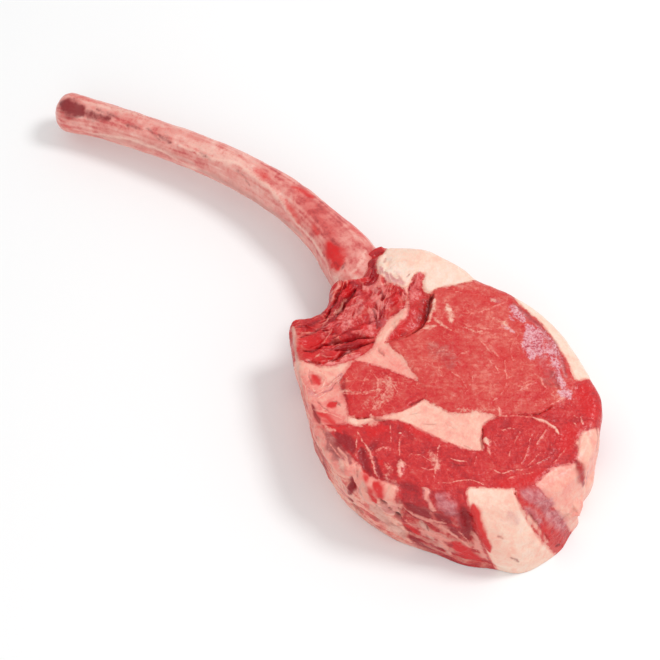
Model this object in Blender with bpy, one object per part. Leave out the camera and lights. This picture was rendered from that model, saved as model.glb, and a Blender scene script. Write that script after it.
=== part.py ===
"""A raw tomahawk steak: a thick rib steak left on its long, bare rib bone.

The steak lies on its lower cut at z = 0, +Z up. +X runs from the tip of the bone to the far
end of the meat, +Y towards the fat cap, and the origin is the middle of the resting box.
Outlines are drawn in millimetres on the upper cut; the meshes are in metres.
"""
import math

import bmesh
import bpy
import numpy as np
from mathutils import noise
from mathutils.geometry import delaunay_2d_cdt

MM = 0.001
ORIGIN_AT = np.array([-27.9, 6.5])

# Meat block
THICKNESS = 48.0
SHOULDER = 5.0
SPACING = 5.5
TORN_SPACING = 3.6
BASE_SPACING = 11.0
GAP = 0.3
CURVE_STEPS = 24
ROWS = (0.8, 0.58, 0.34, 0.14, 0.0)
ROW_HEADROOM = 0.1
RIM_SPACING = 1.5
RIM_SOFTEN = 3
EDGE_CLEARANCE = 0.55
STRAIGHT_BEND = 0.05
POINT_TOLERANCE = 1e-6
SHARP_ANGLE = math.radians(50)

# Upper face: torn fibres beside the bone, a dip towards it and a low dome on the eye muscle
FIBRE_WAY = math.radians(72)
FIBRE_LENGTH = 16.0
FIBRE_WIDTH = 5.0
TORN_DEPTH = 3.4
TORN_TO_X = 36.0
TORN_FADE_X = 14.0
TORN_FROM_Y = -40.0
TORN_FADE_Y = 20.0
BONE_DIP = 6.0
DIP_TO_X = 18.0
DIP_FROM_Y = 5.0
DIP_FADE = 30.0
DOME = 0.9
DOME_AT = np.array([95.0, 35.0])
DOME_REACH = np.array([45.0, 30.0])

# Side of the block: it swells at mid height, tucks in at the foot, and leans out towards the
# far end. Each place round the outline has the distance it moves from upper cut to lower.
SWELL = 2.0
SWELL_POWER = 0.8
CORNER_SWELL = 5.0
CORNER = np.array([152.0, -28.0])
CORNER_REACH = 26.0
TUCK = 3.0
TUCK_FROM_DEPTH = 0.7
SIDE_DEPTH = 14.0
LEAN_REACH = 16.0
LEAN_AT = {
    "left corner": ((-8, -22), (3, 3)), "left foot": ((20, -47), (4, 6)), "side": ((49, -62), (6, 1)),
    "front": ((79, -70), (12, -2)), "flank": ((105, -66), (20, 1)), "block": ((140, -42), (27, -1)),
    "far corner": ((154, -27), (33, -6)), "band": ((163, -17), (29, 14)), "corner": ((170, -4), (16, 15)),
    "far side": ((175, 22), (5, 6)), "tip": ((167, 48), (0, -1)), "back": ((120, 80), (0, 0)),
    "back of cap": ((60, 78), (0, 0)), "collar": ((-10, 30), (0, 0)),
}

# Rib bone, its middle line and its two radii from the bare tip to the end inside the meat
BONE_LINE = (
    (-235, -0.5, 19), (-215, 9.5, 19.5), (-176, 25.5, 20.5), (-135, 39, 22), (-90, 47, 23.5),
    (-53, 46.5, 24), (-26, 42, 24), (0, 33, 24), (22, 18, 24),
)
BONE_TIP = 10.0
BONE_END = 6.0
BONE_HALF_WIDTH = (11.5, 10.3, 10, 10.5, 11.5, 13, 17, 17, 10)
BONE_HALF_HEIGHT = (12.5, 12, 12, 12.5, 13.5, 14.5, 15, 14, 12)
BONE_SQUARENESS = 2.5
BONE_SIDES = 18
BONE_STEP = 7.0
TIP_TURNS = np.radians((12, 35, 62))
END_TURNS = np.radians((35, 68))

# Points where three pieces meet on the upper cut
MEET = {
    "bone back": (-12, 55), "cap start": (-8, 57), "cap end": (49, 75), "strip start": (68, 81),
    "strip end": (141, 71), "tip out": (165, 50), "tip in": (162, 44),
    "corner out": (170, -4), "corner in": (164, -3), "band out": (163, -17), "band in": (158, -13),
    "block out": (144, -37), "block in": (139, -32), "flank out": (113, -63), "flank in": (111, -56),
    "side out": (49, -62), "side in": (54, -60), "left low": (21, -46), "left high": (10, -40),
    "bone front": (-9, 10), "cap corner": (22, 40), "tongue": (23, 43), "fold top": (36, 48),
    "fold end": (41, 5), "seam end": (73, -1), "kernel top": (83, -7), "kernel right": (121, 14),
    "round top": (136, 31), "round low": (130, -8), "tail top": (60, -46), "tail low": (63, -49),
    "edge top": (41, -34), "strip low": (137, 63),
}

# Lines between those points. Each runs from one to the next through its own few points.
LINES = {
    "back of cap": ("cap start", [(5, 66), (16, 71), (36, 75)], "cap end"),
    "back of eye": ("cap end", [(58, 78)], "strip start"),
    "back of strip": ("strip start", [(85, 84), (109, 82), (134, 74)], "strip end"),
    "back of tip": ("strip end", [(155, 64)], "tip out"),
    "corner side": ("tip out", [(169, 44), (173, 34), (175, 22), (174, 10)], "corner out"),
    "band side": ("corner out", [(167, -11)], "band out"),
    "block side": ("band out", [(156, -25)], "block out"),
    "flank side": ("block out", [(134, -48), (122, -57)], "flank out"),
    "front side": ("flank out", [(98, -69), (79, -70), (62, -67)], "side out"),
    "edge side": ("side out", [(41, -57), (30, -51)], "left low"),
    "left side": ("left low", [], "left high"),
    "notch": ("left high", [(-4, -29), (-8, -25), (-8, -20), (-4, -13), (-2, -4), (-4, 4)], "bone front"),
    "bone mouth": ("bone front", [(-11, 19), (-6, 25), (-3, 31), (-7, 39), (-13, 45)], "bone back"),
    "collar end": ("bone back", [], "cap start"),
    "tip joint": ("tip out", [], "tip in"),
    "corner face": ("tip in", [(162, 38), (169, 28), (171, 23), (165, 12)], "corner in"),
    "corner joint": ("corner out", [], "corner in"),
    "band face": ("corner in", [(161, -8)], "band in"),
    "band joint": ("band out", [], "band in"),
    "block face": ("band in", [(151, -20)], "block in"),
    "block joint": ("block out", [], "block in"),
    "flank face": ("block in", [(130, -43), (118, -51)], "flank in"),
    "flank joint": ("flank out", [], "flank in"),
    "front face": ("flank in", [(98, -63), (79, -63), (69, -62)], "side in"),
    "side joint": ("side out", [], "side in"),
    "cap left": ("cap start", [(-4, 45), (2, 39), (8, 37), (15, 37)], "cap corner"),
    "cap joint": ("cap corner", [], "tongue"),
    "cap low": ("tongue", [(21, 49), (21, 53), (24, 55), (28, 49), (33, 47)], "fold top"),
    "cap eye": ("fold top", [(37, 53), (45, 66)], "cap end"),
    "rib meat low": ("cap corner", [(32, 31), (31, 17), (34, 5), (38, -4), (37, -14), (32, -25), (26, -33)],
                     "left high"),
    "tongue side": ("tongue", [(35, 30), (39, 23), (38, 14)], "fold end"),
    "fold": ("fold top", [(44, 37), (47, 30), (47, 20)], "fold end"),
    "seam right": ("fold end", [(55, 4), (64, 2)], "seam end"),
    "seam left": ("seam end", [(62, -5), (51, -9), (39, -16), (37, -21)], "edge top"),
    "seam low": ("edge top", [(34, -38), (25, -40)], "left low"),
    "edge right": ("edge top", [(50, -38), (55, -41)], "tail top"),
    "tail end": ("tail top", [], "tail low"),
    "edge low": ("tail low", [(60, -54)], "side in"),
    "left eye": ("seam end", [(80, -2)], "kernel top"),
    "left low line": ("kernel top", [(82, -13), (78, -25), (70, -37)], "tail top"),
    "eye low": ("kernel top", [(94, -5), (102, -2), (112, 9)], "kernel right"),
    "kernel side": ("kernel right", [(119, 8), (120, 2)], "round low"),
    "kernel low": ("round low", [(126, -12), (113, -18), (96, -23), (82, -28), (72, -39), (69, -46)],
                   "tail low"),
    "round eye": ("kernel right", [(125, 21)], "round top"),
    "round side": ("round top", [(144, 33), (153, 31), (159, 18), (154, 1), (144, -9)], "round low"),
    "eye side": ("round top", [(140, 44), (141, 54)], "strip low"),
    "strip joint": ("strip low", [], "strip end"),
    "strip face": ("strip start", [(82, 79), (98, 78), (120, 71)], "strip low"),
}

OUTLINE = ("back of cap", "back of eye", "back of strip", "back of tip", "corner side", "band side",
           "block side", "flank side", "front side", "edge side", "left side", "notch", "bone mouth",
           "collar end")

# Lines that run on into each other without a corner, and whether they close
CHAINS = (
    (OUTLINE, True),
    (("corner face", "band face", "block face", "flank face", "front face"), False),
)

# Each piece of the block: the lines round it, with a minus where a line is walked backwards
PIECES = {
    "rib_meat": ("notch", "bone mouth", "collar end", "cap left", "rib meat low"),
    "fat_cap": ("back of cap", "-cap eye", "-cap low", "-cap joint", "-cap left"),
    "inner_muscle": ("cap low", "fold", "-tongue side"),
    "seam_fat": ("cap joint", "tongue side", "seam right", "seam left", "seam low", "left side",
                 "-rib meat low"),
    "eye_muscle": ("cap eye", "back of eye", "strip face", "-eye side", "-round eye", "-eye low",
                   "-left eye", "-seam right", "-fold"),
    "back_fat": ("back of strip", "-strip joint", "-strip face"),
    "edge_fat": ("edge right", "tail end", "edge low", "-side joint", "edge side", "-seam low"),
    "small_muscle": ("-seam left", "left eye", "left low line", "-edge right"),
    "kernel_fat": ("eye low", "kernel side", "kernel low", "-tail end", "-left low line"),
    "round_muscle": ("round eye", "round side", "-kernel side"),
    "cap_muscle": ("eye side", "strip joint", "back of tip", "tip joint", "corner face", "band face",
                   "block face", "flank face", "front face", "-edge low", "-kernel low", "-round side"),
    "corner_fat": ("corner side", "corner joint", "-corner face", "-tip joint"),
    "band_muscle": ("band side", "band joint", "-band face", "-corner joint"),
    "side_fat": ("block side", "block joint", "-block face", "-band joint"),
    "side_muscle": ("flank side", "flank joint", "-flank face", "-block joint"),
    "flank_fat": ("front side", "side joint", "-front face", "-flank joint"),
}

# How far each piece's upper face stands above or below the cut
STAND = {
    "rib_meat": -1.6, "fat_cap": -0.4, "inner_muscle": -3.0, "seam_fat": -0.8, "eye_muscle": 0.4,
    "back_fat": -0.4, "edge_fat": -1.6, "small_muscle": -0.2, "kernel_fat": -0.6,
    "round_muscle": 0.2, "cap_muscle": 0.0, "corner_fat": -0.6, "band_muscle": -0.6,
    "side_fat": 0.0, "side_muscle": -0.6, "flank_fat": -0.8,
}

# How far a piece's side stands proud of its neighbours or lies back
PROUD = {
    "side_fat": 1.2, "corner_fat": 0.8, "band_muscle": -0.8, "side_muscle": -1.2, "flank_fat": 0.4,
    "rib_meat": -0.6, "edge_fat": 0.3,
}
PROUD_DEPTH = 3.0

FAT_PIECES = ("fat_cap", "seam_fat", "back_fat", "edge_fat", "kernel_fat", "corner_fat", "side_fat",
              "flank_fat")
RED = (0.53, 0.065, 0.058, 1.0)
CREAM = (0.86, 0.55, 0.43, 1.0)
BONE_PINK = (0.66, 0.27, 0.22, 1.0)


def clear_scene():
    for item in list(bpy.data.objects):
        bpy.data.objects.remove(item, do_unlink=True)


def material(name, colour, roughness):
    result = bpy.data.materials.new(name)
    result.use_nodes = True
    shader = result.node_tree.nodes["Principled BSDF"]
    shader.inputs["Base Color"].default_value = colour
    shader.inputs["Roughness"].default_value = roughness
    shader.inputs["Metallic"].default_value = 0.0
    return result


def smooth_step(value):
    value = np.clip(value, 0.0, 1.0)
    return value * value * (3.0 - 2.0 * value)


def spline(points, steps=CURVE_STEPS):
    """A Catmull-Rom curve through points, as a dense line."""
    points = np.asarray(points, float)
    padded = np.vstack([2 * points[0] - points[1], points, 2 * points[-1] - points[-2]])
    result = []
    for before, start, end, after in zip(padded, padded[1:], padded[2:], padded[3:]):
        for step in range(steps):
            t = step / steps
            result.append(0.5 * (2 * start + (end - before) * t
                                 + (2 * before - 5 * start + 4 * end - after) * t * t
                                 + (3 * start - before - 3 * end + after) * t ** 3))
    result.append(points[-1])
    return np.array(result)


def even_line(line, spacing):
    """The same line with points about a spacing apart, its two ends kept."""
    lengths = np.linalg.norm(np.diff(line, axis=0), axis=1)
    along = np.concatenate([[0.0], np.cumsum(lengths)])
    count = max(1, round(along[-1] / spacing))
    places = np.linspace(0.0, along[-1], count + 1)
    return np.column_stack([np.interp(places, along, line[:, axis]) for axis in range(line.shape[1])])


def drawn_lines():
    """Every line as a dense curve. A chain of lines is one smooth curve, cut where pieces meet."""
    result = {}
    for names, closed in CHAINS:
        points = []
        for name in names:
            start, between, _ = LINES[name]
            points += [MEET[start], *between]
        points.append(MEET[LINES[names[-1]][2]])
        lead = points[-3:-1] if closed else []
        curve = spline([*lead, *points, *(points[1:3] if closed else [])])
        at = len(lead) * CURVE_STEPS
        for name in names:
            end = at + (len(LINES[name][1]) + 1) * CURVE_STEPS
            result[name] = curve[at:end + 1]
            at = end
    for name, (start, between, end) in LINES.items():
        if name not in result:
            result[name] = spline([MEET[start], *between, MEET[end]])
    return result


DRAWN = drawn_lines()


def drawn_line(name, spacing):
    line = even_line(DRAWN[name.lstrip("-")], spacing)
    return line[::-1] if name.startswith("-") else line


def loop_of(names, spacing=SPACING):
    """The closed outline that the named lines make, and which of its edges lie outside."""
    points = []
    outside = []
    for name in names:
        line = drawn_line(name, spacing)
        points.extend(line[:-1])
        outside.extend([name in OUTLINE] * (len(line) - 1))
    return np.array(points), np.array(outside)


def inset(loop, outside):
    """Draw a clockwise loop in by half the gap wherever it has a neighbour."""
    edges = np.roll(loop, -1, axis=0) - loop
    edges /= np.linalg.norm(edges, axis=1)[:, None]
    inward = np.column_stack([edges[:, 1], -edges[:, 0]])
    depth = np.where(outside, 0.0, GAP / 2)
    before = np.roll(inward, 1, axis=0)
    depth_before = np.roll(depth, 1)
    result = loop.copy()
    for index in range(len(loop)):
        pair = np.array([before[index], inward[index]])
        if abs(np.linalg.det(pair)) < STRAIGHT_BEND:
            result[index] += inward[index] * max(depth[index], depth_before[index])
        else:
            result[index] += np.linalg.solve(pair, [depth_before[index], depth[index]])
    return result


def inside(points, loop):
    """Which points lie inside a closed loop."""
    crossing = np.zeros(len(points), bool)
    for start, end in zip(loop, np.roll(loop, -1, axis=0)):
        straddles = (start[1] > points[:, 1]) != (end[1] > points[:, 1])
        rise = end[1] - start[1] if end[1] != start[1] else 1.0
        at = start[0] + (points[:, 1] - start[1]) * (end[0] - start[0]) / rise
        crossing ^= straddles & (points[:, 0] < at)
    return crossing


def line_gaps(points, line):
    """For each point, the distance to each stretch of a line, and where along it is closest."""
    edge = line[1:] - line[:-1]
    offset = points[:, None, :] - line[None, :-1, :]
    along = np.clip((offset * edge).sum(2) / (edge ** 2).sum(1), 0.0, 1.0)
    return np.linalg.norm(offset - along[:, :, None] * edge, axis=2), along


def closed_outline():
    """The outline as an even closed line, with directions out of the meat that turn smoothly."""
    loop, _ = loop_of(OUTLINE, RIM_SPACING)
    ways = np.roll(loop, -1, axis=0) - np.roll(loop, 1, axis=0)
    ways = sum(np.roll(ways, shift, axis=0) for shift in range(-RIM_SOFTEN, RIM_SOFTEN + 1))
    outward = np.column_stack([-ways[:, 1], ways[:, 0]])
    outward /= np.linalg.norm(outward, axis=1)[:, None]
    return np.vstack([loop, loop[:1]]), np.vstack([outward, outward[:1]])


RIM, RIM_OUTWARD = closed_outline()


def from_rim(points):
    """Distance of each point from the outline, and the way out to it."""
    gaps, along = line_gaps(points, RIM)
    closest = gaps.argmin(axis=1)
    rows = np.arange(len(points))
    share = along[rows, closest][:, None]
    outward = RIM_OUTWARD[closest] * (1.0 - share) + RIM_OUTWARD[closest + 1] * share
    return gaps[rows, closest], outward


def lean(points):
    """How far a point of the upper cut moves by the time it reaches the lower one."""
    places = np.array([place for place, _ in LEAN_AT.values()], float)
    moves = np.array([move for _, move in LEAN_AT.values()], float)
    apart = ((points[:, None, :] - places[None, :, :]) ** 2).sum(2)
    weight = 1.0 / (apart + LEAN_REACH ** 2) ** 2
    return weight @ moves / weight.sum(axis=1)[:, None]


def torn_height(points):
    """Ridges and hollows of torn fibre, drawn out along the fibres."""
    along = points @ np.array([math.cos(FIBRE_WAY), math.sin(FIBRE_WAY)])
    across = points @ np.array([-math.sin(FIBRE_WAY), math.cos(FIBRE_WAY)])
    places = zip(along / FIBRE_LENGTH, across / FIBRE_WIDTH)
    return np.array([noise.noise((a, b, 0.0)) for a, b in places])


def relief(points, stand):
    """Height of the upper face: a piece's own level, low towards the bone, torn at the ribs."""
    across, along = points.T
    towards_bone = smooth_step((DIP_TO_X - across) / DIP_FADE) * smooth_step((along - DIP_FROM_Y) / DIP_FADE)
    torn = (smooth_step((TORN_TO_X - across) / TORN_FADE_X)
            * smooth_step((along - TORN_FROM_Y) / TORN_FADE_Y))
    dome = DOME * np.exp(-(((points - DOME_AT) / DOME_REACH) ** 2).sum(1))
    return stand - BONE_DIP * towards_bone + TORN_DEPTH * torn * torn_height(points) + dome


def upper_heights(points, stand):
    """Height of the upper face, rounded over at the outline."""
    distance, _ = from_rim(points)
    edge = 1.0 - np.clip(distance / SHOULDER, 0.0, 1.0)
    return THICKNESS - SHOULDER * (1.0 - np.sqrt(1.0 - edge ** 2)) + relief(points, stand)


def placed(points, heights, proud=0.0):
    """Carry points drawn on the upper cut to their heights: the side leans, swells and tucks in."""
    distance, outward = from_rim(points)
    depth = np.clip(1.0 - heights / THICKNESS, 0.0, 1.0)
    near = np.exp(-(distance / SIDE_DEPTH) ** 2)
    corner = np.exp(-(((points - CORNER) / CORNER_REACH) ** 2).sum(1))
    swell = (SWELL + CORNER_SWELL * corner) * np.sin(math.pi * depth ** SWELL_POWER)
    tuck = TUCK * (1.0 - corner) * smooth_step((depth - TUCK_FROM_DEPTH) / (1.0 - TUCK_FROM_DEPTH))
    own = proud * np.exp(-(distance / PROUD_DEPTH) ** 2) * np.sin(math.pi * depth)
    flat = points + lean(points) * depth[:, None] + outward * ((swell - tuck) * near + own)[:, None]
    return np.column_stack([flat - ORIGIN_AT, heights]) * MM


def grid_inside(loop, spacing):
    """Points in offset rows inside a loop, clear of its edge."""
    low = loop.min(axis=0)
    high = loop.max(axis=0)
    rows = np.arange(low[1], high[1], spacing * math.sqrt(3) / 2)
    points = []
    for index, row in enumerate(rows):
        for column in np.arange(low[0] + spacing * (index % 2) / 2, high[0], spacing):
            points.append((column, row))
    points = np.array(points)
    points = points[inside(points, loop)]
    if not len(points):
        return points.reshape(0, 2)
    gaps, _ = line_gaps(points, np.vstack([loop, loop[:1]]))
    return points[gaps.min(axis=1) > EDGE_CLEARANCE * spacing]


def filled(loop, spacing):
    """Triangles that fill a loop, and the extra points that they stand on."""
    extra = grid_inside(loop, spacing)
    points = [tuple(point) for point in np.vstack([loop, extra])]
    ring = list(range(len(loop)))
    found = delaunay_2d_cdt(points, [], [ring], 1, POINT_TOLERANCE)
    first = [origin[0] for origin in found[3]]
    triangles = [tuple(first[corner] for corner in face) for face in found[2]]
    return extra, triangles


def add_side_row(mesh, above, below, drawn):
    """Two triangles between each two columns, split alike on both sides of a shared line."""
    for index in range(len(drawn)):
        after = (index + 1) % len(drawn)
        a, b, c, d = above[index], above[after], below[after], below[index]
        if tuple(drawn[index]) < tuple(drawn[after]):
            mesh.faces.new((a, b, c))
            mesh.faces.new((a, c, d))
        else:
            mesh.faces.new((a, b, d))
            mesh.faces.new((b, c, d))


def block_piece(name, lines, finish, collection):
    """One muscle or seam of fat, lofted from its outline on the upper cut to that on the lower."""
    drawn, outside = loop_of(lines)
    loop = inset(drawn, outside)
    upper, upper_faces = filled(loop, TORN_SPACING if name == "rib_meat" else SPACING)
    lower, lower_faces = filled(loop, BASE_SPACING)
    mesh = bmesh.new()
    crown = upper_heights(loop, STAND[name])
    rows = [crown] + [np.minimum(THICKNESS * share, crown * (share + ROW_HEADROOM)) for share in ROWS]
    rings = [[mesh.verts.new(place) for place in placed(loop, row, PROUD.get(name, 0.0))] for row in rows]
    top = rings[0] + [mesh.verts.new(place) for place in placed(upper, upper_heights(upper, STAND[name]))]
    base = rings[-1] + [mesh.verts.new(place) for place in placed(lower, np.zeros(len(lower)))]
    for face in upper_faces:
        mesh.faces.new([top[corner] for corner in face])
    for face in lower_faces:
        mesh.faces.new([base[corner] for corner in reversed(face)])
    for above, below in zip(rings, rings[1:]):
        add_side_row(mesh, above, below, drawn)
    bmesh.ops.recalc_face_normals(mesh, faces=mesh.faces)
    return make_object(name, mesh, finish, collection)


def make_object(name, mesh, finish, collection):
    data = bpy.data.meshes.new(name)
    mesh.to_mesh(data)
    mesh.free()
    data.shade_smooth()
    data.set_sharp_from_angle(angle=SHARP_ANGLE)
    data.materials.append(finish)
    result = bpy.data.objects.new(name, data)
    collection.objects.link(result)
    return result


def bone_section(half_width, half_height):
    """A soft-cornered upright section, as (sideways, up) pairs."""
    result = []
    for index in range(BONE_SIDES):
        angle = 2 * math.pi * index / BONE_SIDES
        across, up = math.cos(angle), math.sin(angle)
        result.append((half_width * math.copysign(abs(across) ** (2 / BONE_SQUARENESS), across),
                       half_height * math.copysign(abs(up) ** (2 / BONE_SQUARENESS), up)))
    return result


def bone_object(name, grow, collection, finish):
    """The rib swept along its middle line, rounded off at both ends, grown all round by grow."""
    controls = np.column_stack([BONE_LINE, BONE_HALF_WIDTH, BONE_HALF_HEIGHT])
    line = even_line(spline(controls), BONE_STEP)
    ways = np.gradient(line[:, :3], axis=0)
    ways /= np.linalg.norm(ways, axis=1)[:, None]
    stations = [(line[0] - np.append(ways[0] * BONE_TIP * math.cos(turn), [0, 0]), ways[0],
                 math.sin(turn)) for turn in TIP_TURNS]
    stations += [(row, way, 1.0) for row, way in zip(line, ways)]
    stations += [(line[-1] + np.append(ways[-1] * (BONE_END * math.sin(turn) + grow), [0, 0]), ways[-1],
                  math.cos(turn)) for turn in END_TURNS]
    mesh = bmesh.new()
    rings = []
    for row, way, scale in stations:
        sideways = np.array([way[1], -way[0], 0.0])
        sideways /= np.linalg.norm(sideways)
        upward = np.cross(sideways, way)
        middle = row[:3] - np.array([*ORIGIN_AT, 0.0])
        section = bone_section(row[3] * scale + grow, row[4] * scale + grow)
        rings.append([mesh.verts.new((middle + sideways * across + upward * up) * MM)
                      for across, up in section])
    for before, after in zip(rings, rings[1:]):
        for index in range(BONE_SIDES):
            step = (index + 1) % BONE_SIDES
            mesh.faces.new((before[index], before[step], after[step], after[index]))
    mesh.faces.new(rings[0])
    mesh.faces.new(rings[-1])
    bmesh.ops.recalc_face_normals(mesh, faces=mesh.faces)
    bmesh.ops.triangulate(mesh, faces=mesh.faces)
    return make_object(name, mesh, finish, collection)


def cut_socket(piece, cutter):
    """Leave room in a piece of meat for the end of the bone."""
    cut = piece.modifiers.new("bone socket", "BOOLEAN")
    cut.operation = "DIFFERENCE"
    cut.solver = "EXACT"
    cut.object = cutter


def build():
    clear_scene()
    steak = bpy.data.collections.new("tomahawk_steak")
    cutters = bpy.data.collections.new("cutters")
    bpy.context.scene.collection.children.link(steak)
    bpy.context.scene.collection.children.link(cutters)
    lean_finish = material("lean", RED, 0.35)
    fat_finish = material("fat", CREAM, 0.4)
    bone_finish = material("bone", BONE_PINK, 0.4)

    blocks = {}
    for name, lines in PIECES.items():
        finish = fat_finish if name in FAT_PIECES else lean_finish
        blocks[name] = block_piece(name, lines, finish, steak)

    bone_object("rib_bone", 0.0, steak, bone_finish)
    socket = bone_object("bone_socket", GAP, cutters, bone_finish)
    socket.hide_render = True
    socket.display_type = "WIRE"
    for name in ("rib_meat", "fat_cap"):
        cut_socket(blocks[name], socket)


build()
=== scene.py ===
# %% [markdown]
# # A raw tomahawk steak
# A tomahawk is a thick rib steak left on its long, bare rib. The cut face is a map: an eye of
# lean meat, smaller muscles round it, and seams of fat between them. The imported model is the
# fixed frame here. It says how big the steak is and where each muscle lies, and this script
# gives every one of them its torn fibres, marbling, wet shine and colour.

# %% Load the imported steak
import math

import bmesh
import bpy
import numpy as np
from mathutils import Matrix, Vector, noise
from mathutils.bvhtree import BVHTree
from mathutils.geometry import delaunay_2d_cdt


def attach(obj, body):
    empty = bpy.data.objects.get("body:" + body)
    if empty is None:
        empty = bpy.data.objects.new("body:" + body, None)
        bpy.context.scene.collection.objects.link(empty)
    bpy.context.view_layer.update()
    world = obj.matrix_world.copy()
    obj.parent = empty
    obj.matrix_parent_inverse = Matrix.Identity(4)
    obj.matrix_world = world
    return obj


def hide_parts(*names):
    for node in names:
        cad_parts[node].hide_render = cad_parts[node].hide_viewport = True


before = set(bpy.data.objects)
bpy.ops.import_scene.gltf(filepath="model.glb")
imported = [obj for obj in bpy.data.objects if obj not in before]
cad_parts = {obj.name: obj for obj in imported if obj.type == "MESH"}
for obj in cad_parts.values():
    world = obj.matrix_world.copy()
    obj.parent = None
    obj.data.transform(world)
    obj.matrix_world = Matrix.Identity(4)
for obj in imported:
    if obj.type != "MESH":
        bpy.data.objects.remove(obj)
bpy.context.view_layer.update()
MM = 0.001
NOISE_SEED = 7
noise.seed_set(NOISE_SEED)

# %% [markdown]
# ## The camera comes first
# The photograph was taken from above, a little more than half way up, with a long lens. The
# camera could be set last, but many marks on the meat are easiest to place where the picture
# shows them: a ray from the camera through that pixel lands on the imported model. So the camera
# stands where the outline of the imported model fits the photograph, and the rays use it too.

# %% Set up the camera
PICTURE = 660
SENSOR = 36.0
LENS = 109.09
DISTANCE = 1.2
AZIMUTH = math.radians(45)
ELEVATION = math.radians(58)
AIM = Vector((0.0279, -0.0065, 0.020))


def added(name, data):
    """A new object in the scene, made of a camera, a lamp or a mesh."""
    result = bpy.data.objects.new(name, data)
    bpy.context.scene.collection.objects.link(result)
    return result


forward = Vector((-math.sin(AZIMUTH) * math.cos(ELEVATION), math.cos(AZIMUTH) * math.cos(ELEVATION),
                  -math.sin(ELEVATION)))
eye = AIM - forward * DISTANCE
camera_data = bpy.data.cameras.new("camera")
camera_data.lens = LENS
camera_data.sensor_width = SENSOR
camera = added("camera", camera_data)
camera.location = eye
camera.rotation_euler = forward.to_track_quat("-Z", "Y").to_euler()
bpy.context.scene.camera = camera

right = Vector((math.cos(AZIMUTH), math.sin(AZIMUTH), 0.0))
above = right.cross(forward)


def sight(across, down):
    """The direction from the camera through a pixel of the photograph."""
    per_pixel = SENSOR / LENS / PICTURE
    way = forward + right * (across - PICTURE / 2) * per_pixel + above * (PICTURE / 2 - down) * per_pixel
    return way.normalized()


print("camera", [round(value, 3) for value in eye])

# %% [markdown]
# ## The map of the cut
# Every muscle runs through the whole steak, so one drawing of the upper cut says where they all
# are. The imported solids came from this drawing, in millimetres. Their edges are a few
# millimetres long, which is too coarse for meat in close-up. Subdividing them would round off
# the thin seams of fat, so the same lines are drawn again here and sampled much more finely.

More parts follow.
